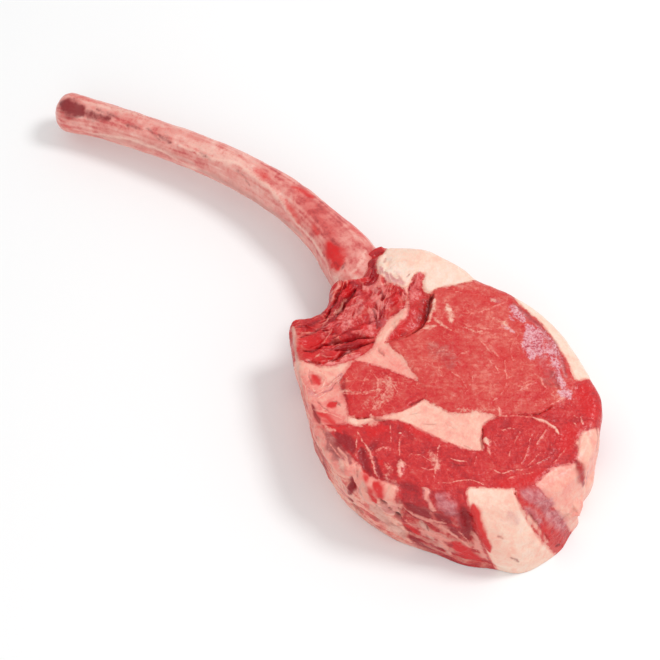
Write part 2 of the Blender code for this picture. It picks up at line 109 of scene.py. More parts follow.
# %% Points where three pieces meet, and the lines between them
DRAWING_AT = np.array([-27.9, 6.5])
MEET = {
    "bone back": (-12, 55), "cap start": (-8, 57), "cap end": (49, 75), "strip start": (68, 81),
    "strip end": (141, 71), "tip out": (165, 50), "tip in": (162, 44),
    "corner out": (170, -4), "corner in": (164, -3), "band out": (163, -17), "band in": (158, -13),
    "block out": (144, -37), "block in": (139, -32), "flank out": (113, -63), "flank in": (111, -56),
    "side out": (49, -62), "side in": (54, -60), "left low": (21, -46), "left high": (10, -40),
    "bone front": (-9, 10), "cap corner": (22, 40), "tongue": (23, 43), "fold top": (36, 48),
    "fold end": (41, 5), "seam end": (73, -1), "kernel top": (83, -7), "kernel right": (121, 14),
    "round top": (136, 31), "round low": (130, -8), "tail top": (60, -46), "tail low": (63, -49),
    "edge top": (41, -34), "strip low": (137, 63),
}
LINES = {
    "back of cap": ("cap start", [(5, 66), (16, 71), (36, 75)], "cap end"),
    "back of eye": ("cap end", [(58, 78)], "strip start"),
    "back of strip": ("strip start", [(85, 84), (109, 82), (134, 74)], "strip end"),
    "back of tip": ("strip end", [(155, 64)], "tip out"),
    "corner side": ("tip out", [(169, 44), (173, 34), (175, 22), (174, 10)], "corner out"),
    "band side": ("corner out", [(167, -11)], "band out"),
    "block side": ("band out", [(156, -25)], "block out"),
    "flank side": ("block out", [(134, -48), (122, -57)], "flank out"),
    "front side": ("flank out", [(98, -69), (79, -70), (62, -67)], "side out"),
    "edge side": ("side out", [(41, -57), (30, -51)], "left low"),
    "left side": ("left low", [], "left high"),
    "notch": ("left high", [(-4, -29), (-8, -25), (-8, -20), (-4, -13), (-2, -4), (-4, 4)], "bone front"),
    "bone mouth": ("bone front", [(-11, 19), (-6, 25), (-3, 31), (-7, 39), (-13, 45)], "bone back"),
    "collar end": ("bone back", [], "cap start"),
    "tip joint": ("tip out", [], "tip in"),
    "corner face": ("tip in", [(162, 38), (169, 28), (171, 23), (165, 12)], "corner in"),
    "corner joint": ("corner out", [], "corner in"),
    "band face": ("corner in", [(161, -8)], "band in"),
    "band joint": ("band out", [], "band in"),
    "block face": ("band in", [(151, -20)], "block in"),
    "block joint": ("block out", [], "block in"),
    "flank face": ("block in", [(130, -43), (118, -51)], "flank in"),
    "flank joint": ("flank out", [], "flank in"),
    "front face": ("flank in", [(98, -63), (79, -63), (69, -62)], "side in"),
    "side joint": ("side out", [], "side in"),
    "cap left": ("cap start", [(-4, 45), (2, 39), (8, 37), (15, 37)], "cap corner"),
    "cap joint": ("cap corner", [], "tongue"),
    "cap low": ("tongue", [(21, 49), (21, 53), (24, 55), (28, 49), (33, 47)], "fold top"),
    "cap eye": ("fold top", [(37, 53), (45, 66)], "cap end"),
    "rib meat low": ("cap corner", [(32, 31), (31, 17), (34, 5), (38, -4), (37, -14), (32, -25), (26, -33)],
                     "left high"),
    "tongue side": ("tongue", [(35, 30), (39, 23), (38, 14)], "fold end"),
    "fold": ("fold top", [(44, 37), (47, 30), (47, 20)], "fold end"),
    "seam right": ("fold end", [(55, 4), (64, 2)], "seam end"),
    "seam left": ("seam end", [(62, -5), (51, -9), (39, -16), (37, -21)], "edge top"),
    "seam low": ("edge top", [(34, -38), (25, -40)], "left low"),
    "edge right": ("edge top", [(50, -38), (55, -41)], "tail top"),
    "tail end": ("tail top", [], "tail low"),
    "edge low": ("tail low", [(60, -54)], "side in"),
    "left eye": ("seam end", [(80, -2)], "kernel top"),
    "left low line": ("kernel top", [(82, -13), (78, -25), (70, -37)], "tail top"),
    "eye low": ("kernel top", [(94, -5), (102, -2), (112, 9)], "kernel right"),
    "kernel side": ("kernel right", [(119, 8), (120, 2)], "round low"),
    "kernel low": ("round low", [(126, -12), (113, -18), (96, -23), (82, -28), (72, -39), (69, -46)],
                   "tail low"),
    "round eye": ("kernel right", [(125, 21)], "round top"),
    "round side": ("round top", [(144, 33), (153, 31), (159, 18), (154, 1), (144, -9)], "round low"),
    "eye side": ("round top", [(140, 44), (141, 54)], "strip low"),
    "strip joint": ("strip low", [], "strip end"),
    "strip face": ("strip start", [(82, 79), (98, 78), (120, 71)], "strip low"),
}
OUTLINE = ("back of cap", "back of eye", "back of strip", "back of tip", "corner side", "band side",
           "block side", "flank side", "front side", "edge side", "left side", "notch", "bone mouth",
           "collar end")
CHAINS = (
    (OUTLINE, True),
    (("corner face", "band face", "block face", "flank face", "front face"), False),
)
PIECES = {
    "rib_meat": ("notch", "bone mouth", "collar end", "cap left", "rib meat low"),
    "fat_cap": ("back of cap", "-cap eye", "-cap low", "-cap joint", "-cap left"),
    "inner_muscle": ("cap low", "fold", "-tongue side"),
    "seam_fat": ("cap joint", "tongue side", "seam right", "seam left", "seam low", "left side",
                 "-rib meat low"),
    "eye_muscle": ("cap eye", "back of eye", "strip face", "-eye side", "-round eye", "-eye low",
                   "-left eye", "-seam right", "-fold"),
    "back_fat": ("back of strip", "-strip joint", "-strip face"),
    "edge_fat": ("edge right", "tail end", "edge low", "-side joint", "edge side", "-seam low"),
    "small_muscle": ("-seam left", "left eye", "left low line", "-edge right"),
    "kernel_fat": ("eye low", "kernel side", "kernel low", "-tail end", "-left low line"),
    "round_muscle": ("round eye", "round side", "-kernel side"),
    "cap_muscle": ("eye side", "strip joint", "back of tip", "tip joint", "corner face", "band face",
                   "block face", "flank face", "front face", "-edge low", "-kernel low", "-round side"),
    "corner_fat": ("corner side", "corner joint", "-corner face", "-tip joint"),
    "band_muscle": ("band side", "band joint", "-band face", "-corner joint"),
    "side_fat": ("block side", "block joint", "-block face", "-band joint"),
    "side_muscle": ("flank side", "flank joint", "-flank face", "-block joint"),
    "flank_fat": ("front side", "side joint", "-front face", "-flank joint"),
}
FAT = ("fat_cap", "seam_fat", "back_fat", "edge_fat", "kernel_fat", "corner_fat", "side_fat", "flank_fat")
print("pieces:", len(PIECES), "lines:", len(LINES))

# %% [markdown]
# ## From points to smooth lines
# A Catmull-Rom curve passes through every point that it is given, which makes it the simplest
# way to trace an outline. Lines that run on into each other are drawn as one curve and then cut,
# so no corner shows where two pieces meet. All pieces take their edges from the same lines, and
# that is why they fit together like tiles.

# %% Curves
CURVE_STEPS = 24
LINE_STEP = 1.5
BATCH = 3000
SHORTEST = 1e-9


def spline(points):
    """A Catmull-Rom curve through points, as a dense line."""
    points = np.asarray(points, float)
    padded = np.vstack([2 * points[0] - points[1], points, 2 * points[-1] - points[-2]])
    result = []
    for before, start, end, after in zip(padded, padded[1:], padded[2:], padded[3:]):
        for step in range(CURVE_STEPS):
            t = step / CURVE_STEPS
            result.append(0.5 * (2 * start + (end - before) * t
                                 + (2 * before - 5 * start + 4 * end - after) * t * t
                                 + (3 * start - before - 3 * end + after) * t ** 3))
    result.append(points[-1])
    return np.array(result)


def even_line(line, spacing):
    """The same line with points about a spacing apart, its two ends kept."""
    lengths = np.linalg.norm(np.diff(line, axis=0), axis=1)
    along = np.concatenate([[0.0], np.cumsum(lengths)])
    count = max(1, round(along[-1] / spacing))
    places = np.linspace(0.0, along[-1], count + 1)
    return np.column_stack([np.interp(places, along, line[:, axis]) for axis in range(line.shape[1])])


def drawn_lines():
    """Every line as a dense curve. A chain of lines is one smooth curve, cut where pieces meet."""
    result = {}
    for names, closed in CHAINS:
        points = []
        for name in names:
            start, between, _ = LINES[name]
            points += [MEET[start], *between]
        points.append(MEET[LINES[names[-1]][2]])
        lead = points[-3:-1] if closed else []
        curve = spline([*lead, *points, *(points[1:3] if closed else [])])
        at = len(lead) * CURVE_STEPS
        for name in names:
            end = at + (len(LINES[name][1]) + 1) * CURVE_STEPS
            result[name] = curve[at:end + 1]
            at = end
    for name, (start, between, end) in LINES.items():
        if name not in result:
            result[name] = spline([MEET[start], *between, MEET[end]])
    return result


def smooth_step(value):
    """0 to 1 with a soft start and a soft end."""
    value = np.clip(value, 0.0, 1.0)
    return value * value * (3.0 - 2.0 * value)


def fade(value, start, span):
    """0 at the start and 1 a whole span further on. A negative span runs the other way."""
    return smooth_step((value - start) / span)


def line_gaps(points, line):
    """For each point: its distance to a line, the stretch it is closest to and how far along that."""
    edge = line[1:] - line[:-1]
    length = np.maximum((edge ** 2).sum(1), SHORTEST)
    gaps, stretch, share = np.empty(len(points)), np.empty(len(points), int), np.empty(len(points))
    for first in range(0, len(points), BATCH):
        part = slice(first, first + BATCH)
        offset = points[part, None, :] - line[None, :-1, :]
        along = np.clip((offset * edge).sum(2) / length, 0.0, 1.0)
        apart = ((offset - along[:, :, None] * edge) ** 2).sum(2)
        closest = apart.argmin(axis=1)
        rows = np.arange(len(closest))
        gaps[part] = np.sqrt(apart[rows, closest])
        stretch[part] = closest
        share[part] = along[rows, closest]
    return gaps, stretch, share


DRAWN = drawn_lines()
COARSE = {name: even_line(line, LINE_STEP) for name, line in DRAWN.items()}
print("length of the outline in mm:", round(sum(len(COARSE[name]) - 1 for name in OUTLINE) * LINE_STEP))

# %% [markdown]
# ## From the drawing to the block
# The side of the steak isn't upright. It leans out towards the far end, swells at mid height and
# tucks in at the foot, and its upper edge is rounded. These rules are the same as the packed
# solids follow, so a point drawn on the cut can be carried to any height and lands on them.

# %% The shape of the block
THICKNESS = 48.0
SHOULDER = 5.0
RIM_STEP = 0.75
RIM_SOFTEN = 6
SWELL = 2.0
SWELL_POWER = 0.8
CORNER_SWELL = 5.0
CORNER = np.array([152.0, -28.0])
CORNER_REACH = 26.0
TUCK = 3.0
TUCK_FADE = (0.7, 0.3)
SIDE_DEPTH = 14.0
PROUD_DEPTH = 3.0
LEAN_REACH = 16.0
LEAN_AT = {
    "left corner": ((-8, -22), (3, 3)), "left foot": ((20, -47), (4, 6)), "side": ((49, -62), (6, 1)),
    "front": ((79, -70), (12, -2)), "flank": ((105, -66), (20, 1)), "block": ((140, -42), (27, -1)),
    "far corner": ((154, -27), (33, -6)), "band": ((163, -17), (29, 14)), "corner": ((170, -4), (16, 15)),
    "far side": ((175, 22), (5, 6)), "tip": ((167, 48), (0, -1)), "back": ((120, 80), (0, 0)),
    "back of cap": ((60, 78), (0, 0)), "collar": ((-10, 30), (0, 0)),
}


def closed_outline():
    """The outline as an even closed line, with directions out of the meat that turn smoothly."""
    loop = np.vstack([even_line(DRAWN[name], RIM_STEP)[:-1] for name in OUTLINE])
    ways = np.roll(loop, -1, axis=0) - np.roll(loop, 1, axis=0)
    ways = sum(np.roll(ways, shift, axis=0) for shift in range(-RIM_SOFTEN, RIM_SOFTEN + 1))
    outward = np.column_stack([-ways[:, 1], ways[:, 0]])
    outward /= np.linalg.norm(outward, axis=1)[:, None]
    return np.vstack([loop, loop[:1]]), np.vstack([outward, outward[:1]])


RIM, RIM_OUTWARD = closed_outline()


def from_rim(points):
    """Distance of each point from the outline, and the way out to it."""
    gaps, stretch, share = line_gaps(points, RIM)
    share = share[:, None]
    return gaps, RIM_OUTWARD[stretch] * (1.0 - share) + RIM_OUTWARD[stretch + 1] * share


def lean(points):
    """How far a point of the upper cut moves by the time it reaches the lower one."""
    places = np.array([place for place, _ in LEAN_AT.values()], float)
    moves = np.array([move for _, move in LEAN_AT.values()], float)
    apart = ((points[:, None, :] - places[None, :, :]) ** 2).sum(2)
    weight = 1.0 / (apart + LEAN_REACH ** 2) ** 2
    return weight @ moves / weight.sum(axis=1)[:, None]


def inside(points, loop):
    """Which points lie inside a closed loop."""
    crossing = np.zeros(len(points), bool)
    for start, end in zip(loop, np.roll(loop, -1, axis=0)):
        straddles = (start[1] > points[:, 1]) != (end[1] > points[:, 1])
        rise = end[1] - start[1] if end[1] != start[1] else 1.0
        at = start[0] + (points[:, 1] - start[1]) * (end[0] - start[0]) / rise
        crossing ^= straddles & (points[:, 0] < at)
    return crossing


def rim_height(distance):
    """Height of the smooth block at a distance from its outline: flat, then rounded over."""
    edge = 1.0 - np.clip(distance / SHOULDER, 0.0, 1.0)
    return THICKNESS - SHOULDER * (1.0 - np.sqrt(1.0 - edge ** 2))


def carried(points, heights, rim, proud):
    """Points of the drawing at their heights on the leaning block, in mm of the drawing."""
    distance, outward = rim
    depth = np.clip(1.0 - heights / THICKNESS, 0.0, 1.0)
    near = np.exp(-(distance / SIDE_DEPTH) ** 2)
    corner = np.exp(-(((points - CORNER) / CORNER_REACH) ** 2).sum(1))
    swell = (SWELL + CORNER_SWELL * corner) * np.sin(math.pi * depth ** SWELL_POWER)
    tuck = TUCK * (1.0 - corner) * fade(depth, *TUCK_FADE)
    own = proud * np.exp(-(distance / PROUD_DEPTH) ** 2) * np.sin(math.pi * depth)
    flat = points + lean(points) * depth[:, None] + outward * ((swell - tuck) * near + own)[:, None]
    return np.column_stack([flat, heights])


# %% [markdown]
# ## Neighbours share their edges
# Each muscle stands a little above or below the next and is softer or firmer, but real seams
# have no cliffs. So a value that belongs to a piece, such as its height, turns into the mean of
# both pieces along every line that they share. The same trick makes a soft map of fat and lean,
# which the materials later break up into a ragged edge.

# %% Values of the pieces, blended across their seams
def per_piece(usual, **own):
    """One value for every piece: the usual one, or its own."""
    return dict.fromkeys(PIECES, usual) | own


STAND = {
    "rib_meat": -1.6, "fat_cap": -0.4, "inner_muscle": -3.0, "seam_fat": -0.8, "eye_muscle": 0.4,
    "back_fat": -0.4, "edge_fat": -1.6, "small_muscle": -0.2, "kernel_fat": -0.6,
    "round_muscle": 0.2, "cap_muscle": 0.0, "corner_fat": -0.6, "band_muscle": -0.6,
    "side_fat": 0.0, "side_muscle": -0.6, "flank_fat": -0.8,
}
PROUD = per_piece(0.0, side_fat=1.2, corner_fat=0.8, band_muscle=-0.8, side_muscle=-1.2, flank_fat=0.4,
                  rib_meat=-0.6, edge_fat=0.3)
FATTY = {name: float(name in FAT) for name in PIECES}
STAND_REACH = 2.2
FAT_REACH = 1.9
LINE_USERS = {}
for piece, lines in PIECES.items():
    for line in lines:
        LINE_USERS.setdefault(line.lstrip("-"), []).append(piece)


def shared(piece, values, reach, gaps):
    """A piece's own value, turning into the mean of two pieces at each seam between them."""
    total = 0.0
    pull = 0.0
    for line, distance in gaps.items():
        for neighbour in LINE_USERS[line]:
            if neighbour != piece:
                weight = smooth_step(1.0 - distance / reach)
                total = total + weight
                pull = pull + weight * (values[neighbour] - values[piece]) / 2
    return values[piece] + pull / np.maximum(total, 1.0)


print("shared seams:", sum(len(users) == 2 for users in LINE_USERS.values()))

# %% [markdown]
# ## Marks placed where the photograph shows them
# Veins, folds, hollows darkened with painted shade and patches of painted sheen make this one
# steak and not another. They could be painted on an image, but then they would have no depth and
# the script would need a picture file. Here each mark is a short line of photograph pixels with a
# real width in millimetres. Rays carry its points onto the imported solids, and the distance from
# that line says how strongly a point of the mesh takes part.

# %% Rays onto the imported solids
SEARCH_HEIGHT = 0.024
DOT_LENGTH = 0.01
MARK_REACH = 2.6
TAPER = 0.55
UNEVEN = 0.5
UNEVEN_SIZE = 4.5
FACE_UP = 0.5


def tree_of(nodes):
    """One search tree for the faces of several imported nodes."""
    places = []
    faces = []
    for node in nodes:
        first = len(places)
        places += [vertex.co for vertex in node.data.vertices]
        faces += [[first + corner for corner in face.vertices] for face in node.data.polygons]
    return BVHTree.FromPolygons(places, faces)


MEAT_TREE = tree_of([node for name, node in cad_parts.items() if name != "rib_bone"])
BONE_TREE = tree_of([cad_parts["rib_bone"]])


def spot(pixel, tree):
    """The place on the steak that a pixel of the photograph shows, in mm of the drawing."""
    way = sight(*pixel)
    place, normal, _, _ = tree.ray_cast(eye, way)
    if place is None:
        aside = eye + way * ((SEARCH_HEIGHT - eye.z) / way.z)
        place, normal, _, _ = tree.find_nearest(aside)
    result = np.array(place) / MM + np.append(DRAWING_AT, 0.0)
    if tree is MEAT_TREE and normal.z > FACE_UP and inside(result[None, :2], RIM[:-1])[0]:
        result[2] = rim_height(from_rim(result[None, :2])[0])[0]
    return result


def strokes(marks, tree):
    """Marks as (width, strength, line on the steak)."""
    result = []
    for width, strength, *pixels in marks.values():
        line = [spot(pixel, tree) for pixel in pixels]
        result.append((width, strength, np.array([*line, line[-1] + DOT_LENGTH])))
    return result


def noise_at(places):
    """Noise at each place, about -1 to 1."""
    return np.array([noise.noise(place) for place in places.tolist()])


def marked(places, lines, adding=False):
    """How strongly each place takes part in a set of marks, or the sum of what they add."""
    total = np.zeros(len(places))
    uneven = 1.0 + UNEVEN * noise_at(places / UNEVEN_SIZE)
    for width, strength, line in lines:
        reach = MARK_REACH * width
        low, high = line.min(axis=0) - reach, line.max(axis=0) + reach
        near = np.flatnonzero(((places > low) & (places < high)).all(axis=1))
        if len(near):
            gaps, stretch, share = line_gaps(places[near], line)
            along = np.minimum((stretch + share) / max(len(line) - 2, 1), 1.0)
            taper = 1.0 - TAPER * (len(line) > 2) * (2.0 * along - 1.0) ** 4
            part = strength * np.exp(-(gaps / (width * taper * uneven[near])) ** 2)
            total[near] = total[near] + part if adding else np.maximum(total[near], part)
    return total


# %% [markdown]
# ## Which marks there are
# Each entry reads: width in mm, strength, then the pixels of its line. Half a millimetre is a
# thread of connective tissue and five millimetres is a stain. Every kind of mark has a colour of
# its own in the recipe further down. The relief marks carry their height in mm instead of a
# strength, and a minus sign cuts a crease.

# %% Pale threads and seams of connective tissue and fat, and three painted highlights near the tip
VEINS = {
    "wedge left": (0.50, 1, (358, 431), (356, 444), (355, 457)),
    "wedge right": (0.75, 1, (358, 432), (363, 442), (370, 452), (374, 468), (379, 484)),
    "white patch": (1.0, 0.8, (375, 452), (380, 449), (384, 447)),
    "thread by the patch": (0.43, 1, (390, 421), (390, 432), (391, 444)),
    "white dot": (1.02, 1.2, (400, 434)),
    "strip below the dot": (0.58, 1, (400, 438), (399, 447), (399, 455)),
    "strip end": (1.0, 0.8, (400, 468), (399, 476)),
    "thread over the strip": (0.43, 0.9, (407, 457), (412, 454), (421, 456), (432, 461)),
    "tall thread": (0.50, 1, (440, 444), (437, 457), (435, 470), (434, 481)),
    "dash": (0.58, 1.1, (450, 459), (458, 461), (467, 463)),
    "low thread": (0.58, 1, (436, 483), (454, 482), (470, 480), (484, 485)),
    "short thread": (0.43, 0.9, (476, 456), (475, 465)),
    "arc": (0.65, 0.8, (499, 417), (517, 415), (532, 418)),
    "arc end": (1.36, 1.1, (533, 418), (547, 423), (555, 428), (559, 434)),
    "arc fleck": (1.19, 1, (499, 408), (500, 417)),
    "arc twig": (0.43, 0.9, (529, 411), (533, 417)),
    "blob beside the kernel": (1.87, 1.2, (486, 439), (487, 445)),
    "blob tail": (0.85, 1, (486, 446), (490, 455)),
    "round thread one": (0.43, 0.9, (520, 430), (517, 438), (515, 444)),
    "round thread two": (0.43, 0.9, (532, 434), (528, 448), (522, 464)),
    "round thread three": (0.65, 0.9, (546, 430), (541, 438), (536, 446)),
    "round thread four": (0.43, 0.8, (510, 450), (508, 458)),
    "round lower arc": (0.43, 1, (488, 469), (503, 473), (520, 470), (535, 465), (549, 457)),
    "round second arc": (0.43, 0.8, (505, 480), (520, 474), (536, 471)),
    "round right": (0.50, 0.9, (550, 439), (553, 453)),
    "cap twig": (0.43, 0.9, (553, 463), (560, 456), (566, 448)),
    "eye line": (0.7, 0.8, (478, 313), (490, 308), (504, 302)),
    "eye short line": (0.36, 0.9, (456, 292), (466, 287)),
    "eye branch": (0.6, 0.9, (505, 358), (506, 368), (507, 378), (512, 376), (517, 373)),
    "eye branch low": (0.6, 0.9, (508, 380), (505, 388), (499, 397), (490, 403)),
    "eye middle": (0.50, 0.7, (472, 368), (472, 382), (462, 398)),
    "eye fleck one": (0.85, 0.7, (459, 355), (470, 351)),
    "eye fleck two": (1.27, 0.7, (492, 350), (498, 356)),
    "eye fleck three": (1.02, 0.6, (477, 331), (484, 334)),
    "eye corner": (0.85, 1, (550, 405), (558, 400), (568, 397)),
    "eye corner up": (0.65, 0.9, (561, 381), (566, 389), (567, 397)),
    # Painted highlights: white glints on the wet meat near the tip
    "tip glint one": (0.85, 1, (574, 415), (578, 419)),
    "tip glint two": (0.85, 1, (580, 417), (583, 424)),
    "tip glint three": (0.58, 1, (573, 423), (577, 426)),
    "small upright": (0.43, 0.9, (365, 377), (363, 384), (360, 391)),
    "small across": (0.58, 0.9, (341, 394), (352, 394), (363, 394), (380, 390)),
    "small branch": (0.50, 0.9, (390, 375), (388, 388), (382, 397), (374, 407), (366, 415)),
    "small top": (0.43, 0.8, (372, 368), (369, 378)),
    "small curl": (0.58, 0.8, (377, 379), (384, 379), (388, 374)),
    "small twig": (0.43, 0.7, (382, 397), (390, 404)),
    "slit strand": (0.75, 1, (347, 297), (341, 305), (333, 315), (323, 326)),
    "rib strand one": (0.58, 0.8, (332, 330), (327, 338), (320, 346)),
    "rib strand two": (0.50, 0.8, (356, 318), (349, 325), (344, 331)),
    "rib strand three": (0.43, 0.9, (362, 304), (366, 309), (370, 315)),
    "rib strand four": (0.50, 0.8, (373, 291), (377, 300), (380, 312)),
    "rib strand five": (0.58, 0.7, (371, 327), (375, 333)),
    "rib flap": (0.85, 0.7, (323, 367), (334, 361), (343, 357), (355, 355)),
    "rib cream": (0.65, 1, (314, 358), (318, 355), (321, 353)),
    "web one": (0.85, 0.8, (374, 288), (381, 285), (389, 283)),
    "web two": (0.58, 0.8, (390, 288), (388, 296), (385, 304)),
    "web three": (1.10, 0.8, (401, 291), (404, 299), (405, 306)),
    "patch twig": (0.45, 0.9, (384, 450), (389, 446), (392, 448)),
    "wall strand one": (1.1, 1.1, (318, 437), (324, 450), (331, 463), (338, 476), (346, 492)),
    "wall strand two": (0.6, 0.9, (321, 430), (328, 442), (336, 452), (344, 464), (352, 476)),
    "wall strand three": (0.6, 0.9, (336, 462), (344, 470), (347, 480), (348, 492)),
    "pocket rim": (0.6, 1, (358, 462), (352, 468), (348, 475)),
    "wall strand low": (0.7, 0.9, (352, 497), (364, 507), (378, 518), (392, 527)),
    "wall strand lower": (0.6, 0.9, (376, 519), (394, 531), (412, 541), (432, 551)),
    "flank strand": (0.6, 0.9, (440, 518), (452, 525), (462, 534), (470, 545)),
    "flank strand left": (0.6, 0.9, (384, 508), (396, 511), (408, 522), (420, 531)),
    "edge strand": (0.8, 1.1, (299, 372), (305, 388), (309, 402), (313, 416)),
    "edge strand two": (0.8, 1.1, (313, 398), (327, 388), (340, 375)),
    "edge strand three": (0.7, 1.1, (305, 402), (318, 399), (331, 391)),
    "nodule ring": (0.7, 1.1, (310, 372), (320, 371), (326, 378), (323, 387), (314, 391), (309, 383)),
    "edge strand low": (0.7, 1, (308, 412), (318, 411), (330, 414), (342, 419)),
    "eye fine one": (0.6, 0.9, (487, 358), (494, 364), (499, 372)),
    "eye fine two": (0.6, 0.85, (452, 372), (462, 378), (466, 388)),
    "eye fine three": (0.55, 0.85, (520, 390), (528, 384), (538, 382)),
    "eye fine four": (0.5, 0.8, (430, 352), (444, 350), (456, 354)),
    "eye fine five": (0.6, 0.85, (478, 340), (486, 346), (492, 354)),
    "eye fine six": (0.5, 0.85, (532, 372), (540, 378), (546, 388)),
    "eye fine seven": (0.6, 0.9, (458, 322), (468, 326), (480, 328), (494, 330)),
    "eye fine eight": (0.6, 0.85, (514, 340), (510, 350), (513, 360)),
    "small net one": (0.5, 0.9, (372, 372), (378, 380), (376, 390)),
    "small net two": (0.5, 0.9, (392, 384), (398, 392), (394, 400)),
    "cap cross thread": (0.45, 0.9, (418, 466), (428, 470), (440, 468)),
    "round thread five": (0.5, 0.9, (500, 432), (508, 428), (516, 430)),
    "round thread six": (0.45, 0.9, (540, 452), (534, 460), (527, 466)),
}

# %% Painted sheen: lilac, speckled patches where the wet meat reflects the light
PAINTED_SHEENS = {
    "shine on the eye": (5.0, 1, (529, 327), (536, 339), (539, 354)),
    "shine on the eye left": (3.4, 0.95, (526, 333), (528, 346), (533, 358)),
    "shine upper streak": (2.8, 0.75, (511, 305), (517, 314), (524, 321)),
    "shine upper streak two": (1.4, 0.6, (509, 315), (515, 321)),
    "shine left streak": (1.2, 0.5, (502, 326), (510, 328), (516, 334)),
    "shine right": (3.4, 0.66, (547, 344), (553, 357), (558, 369)),
    "shine low": (2.0, 0.7, (556, 368), (561, 380), (566, 391)),
    "eye corner sheen": (3.0, 0.9, (560, 392), (566, 394), (570, 398)),
    "speckle at the rim": (2.0, 0.5, (540, 328), (549, 338), (556, 349), (563, 362)),
}

# %% Thin pink skins, and painted sheen where wet fat and meat catch the light
VEILS_AND_SHEENS = {
    # Painted highlight: a pale glint on the shoulder of the eye
    "eye shoulder": (2.0, 0.6, (491, 298), (499, 302)),
    "bone seat": (2.4, 0.8, (331, 276), (332, 286), (331, 296)),
    "fat cap shine": (4.0, 0.8, (386, 274), (395, 279), (402, 281)),
    "fat cap shine left": (2.4, 0.8, (380, 268), (387, 275)),
    "flank flap": (1.6, 0.6, (424, 489), (427, 498), (433, 507)),
    "flank film": (5.0, 1, (438, 498), (447, 505), (456, 515)),
    "flank film end": (2.8, 0.8, (456, 510), (461, 519), (464, 527)),
    "band film": (5.6, 1, (524, 494), (538, 497), (551, 505)),
    "band film low": (5.0, 0.9, (545, 510), (557, 519), (564, 528)),
    "side fat sheen": (4.0, 0.45, (508, 512), (516, 524)),
    "tip film": (2.4, 0.8, (588, 472), (590, 480)),
    "right fat skin": (3.0, 0.4, (590, 440), (590, 460)),
    "seam tint": (2.0, 0.6, (334, 370), (343, 366)),
    "edge tint": (1.8, 0.9, (342, 373), (334, 383), (325, 393)),
    "edge tint low": (3.0, 0.6, (309, 393), (318, 398)),
    "edge tint left": (1.6, 0.6, (306, 400), (314, 408)),
    "rib veil": (2.6, 0.5, (381, 326), (386, 318)),
    "rib crest": (2.0, 0.5, (360, 290), (357, 300)),
    "knuckle": (2.0, 0.5, (341, 458), (347, 466)),
    "eye rim": (2.2, 0.6, (515, 307), (530, 318), (543, 332), (554, 348), (562, 364), (567, 377)),
    "under the shine": (5.0, 0.45, (527, 330), (535, 345), (545, 365), (556, 382)),
    "band film left": (3.4, 0.8, (522, 502), (532, 514), (543, 527)),
}

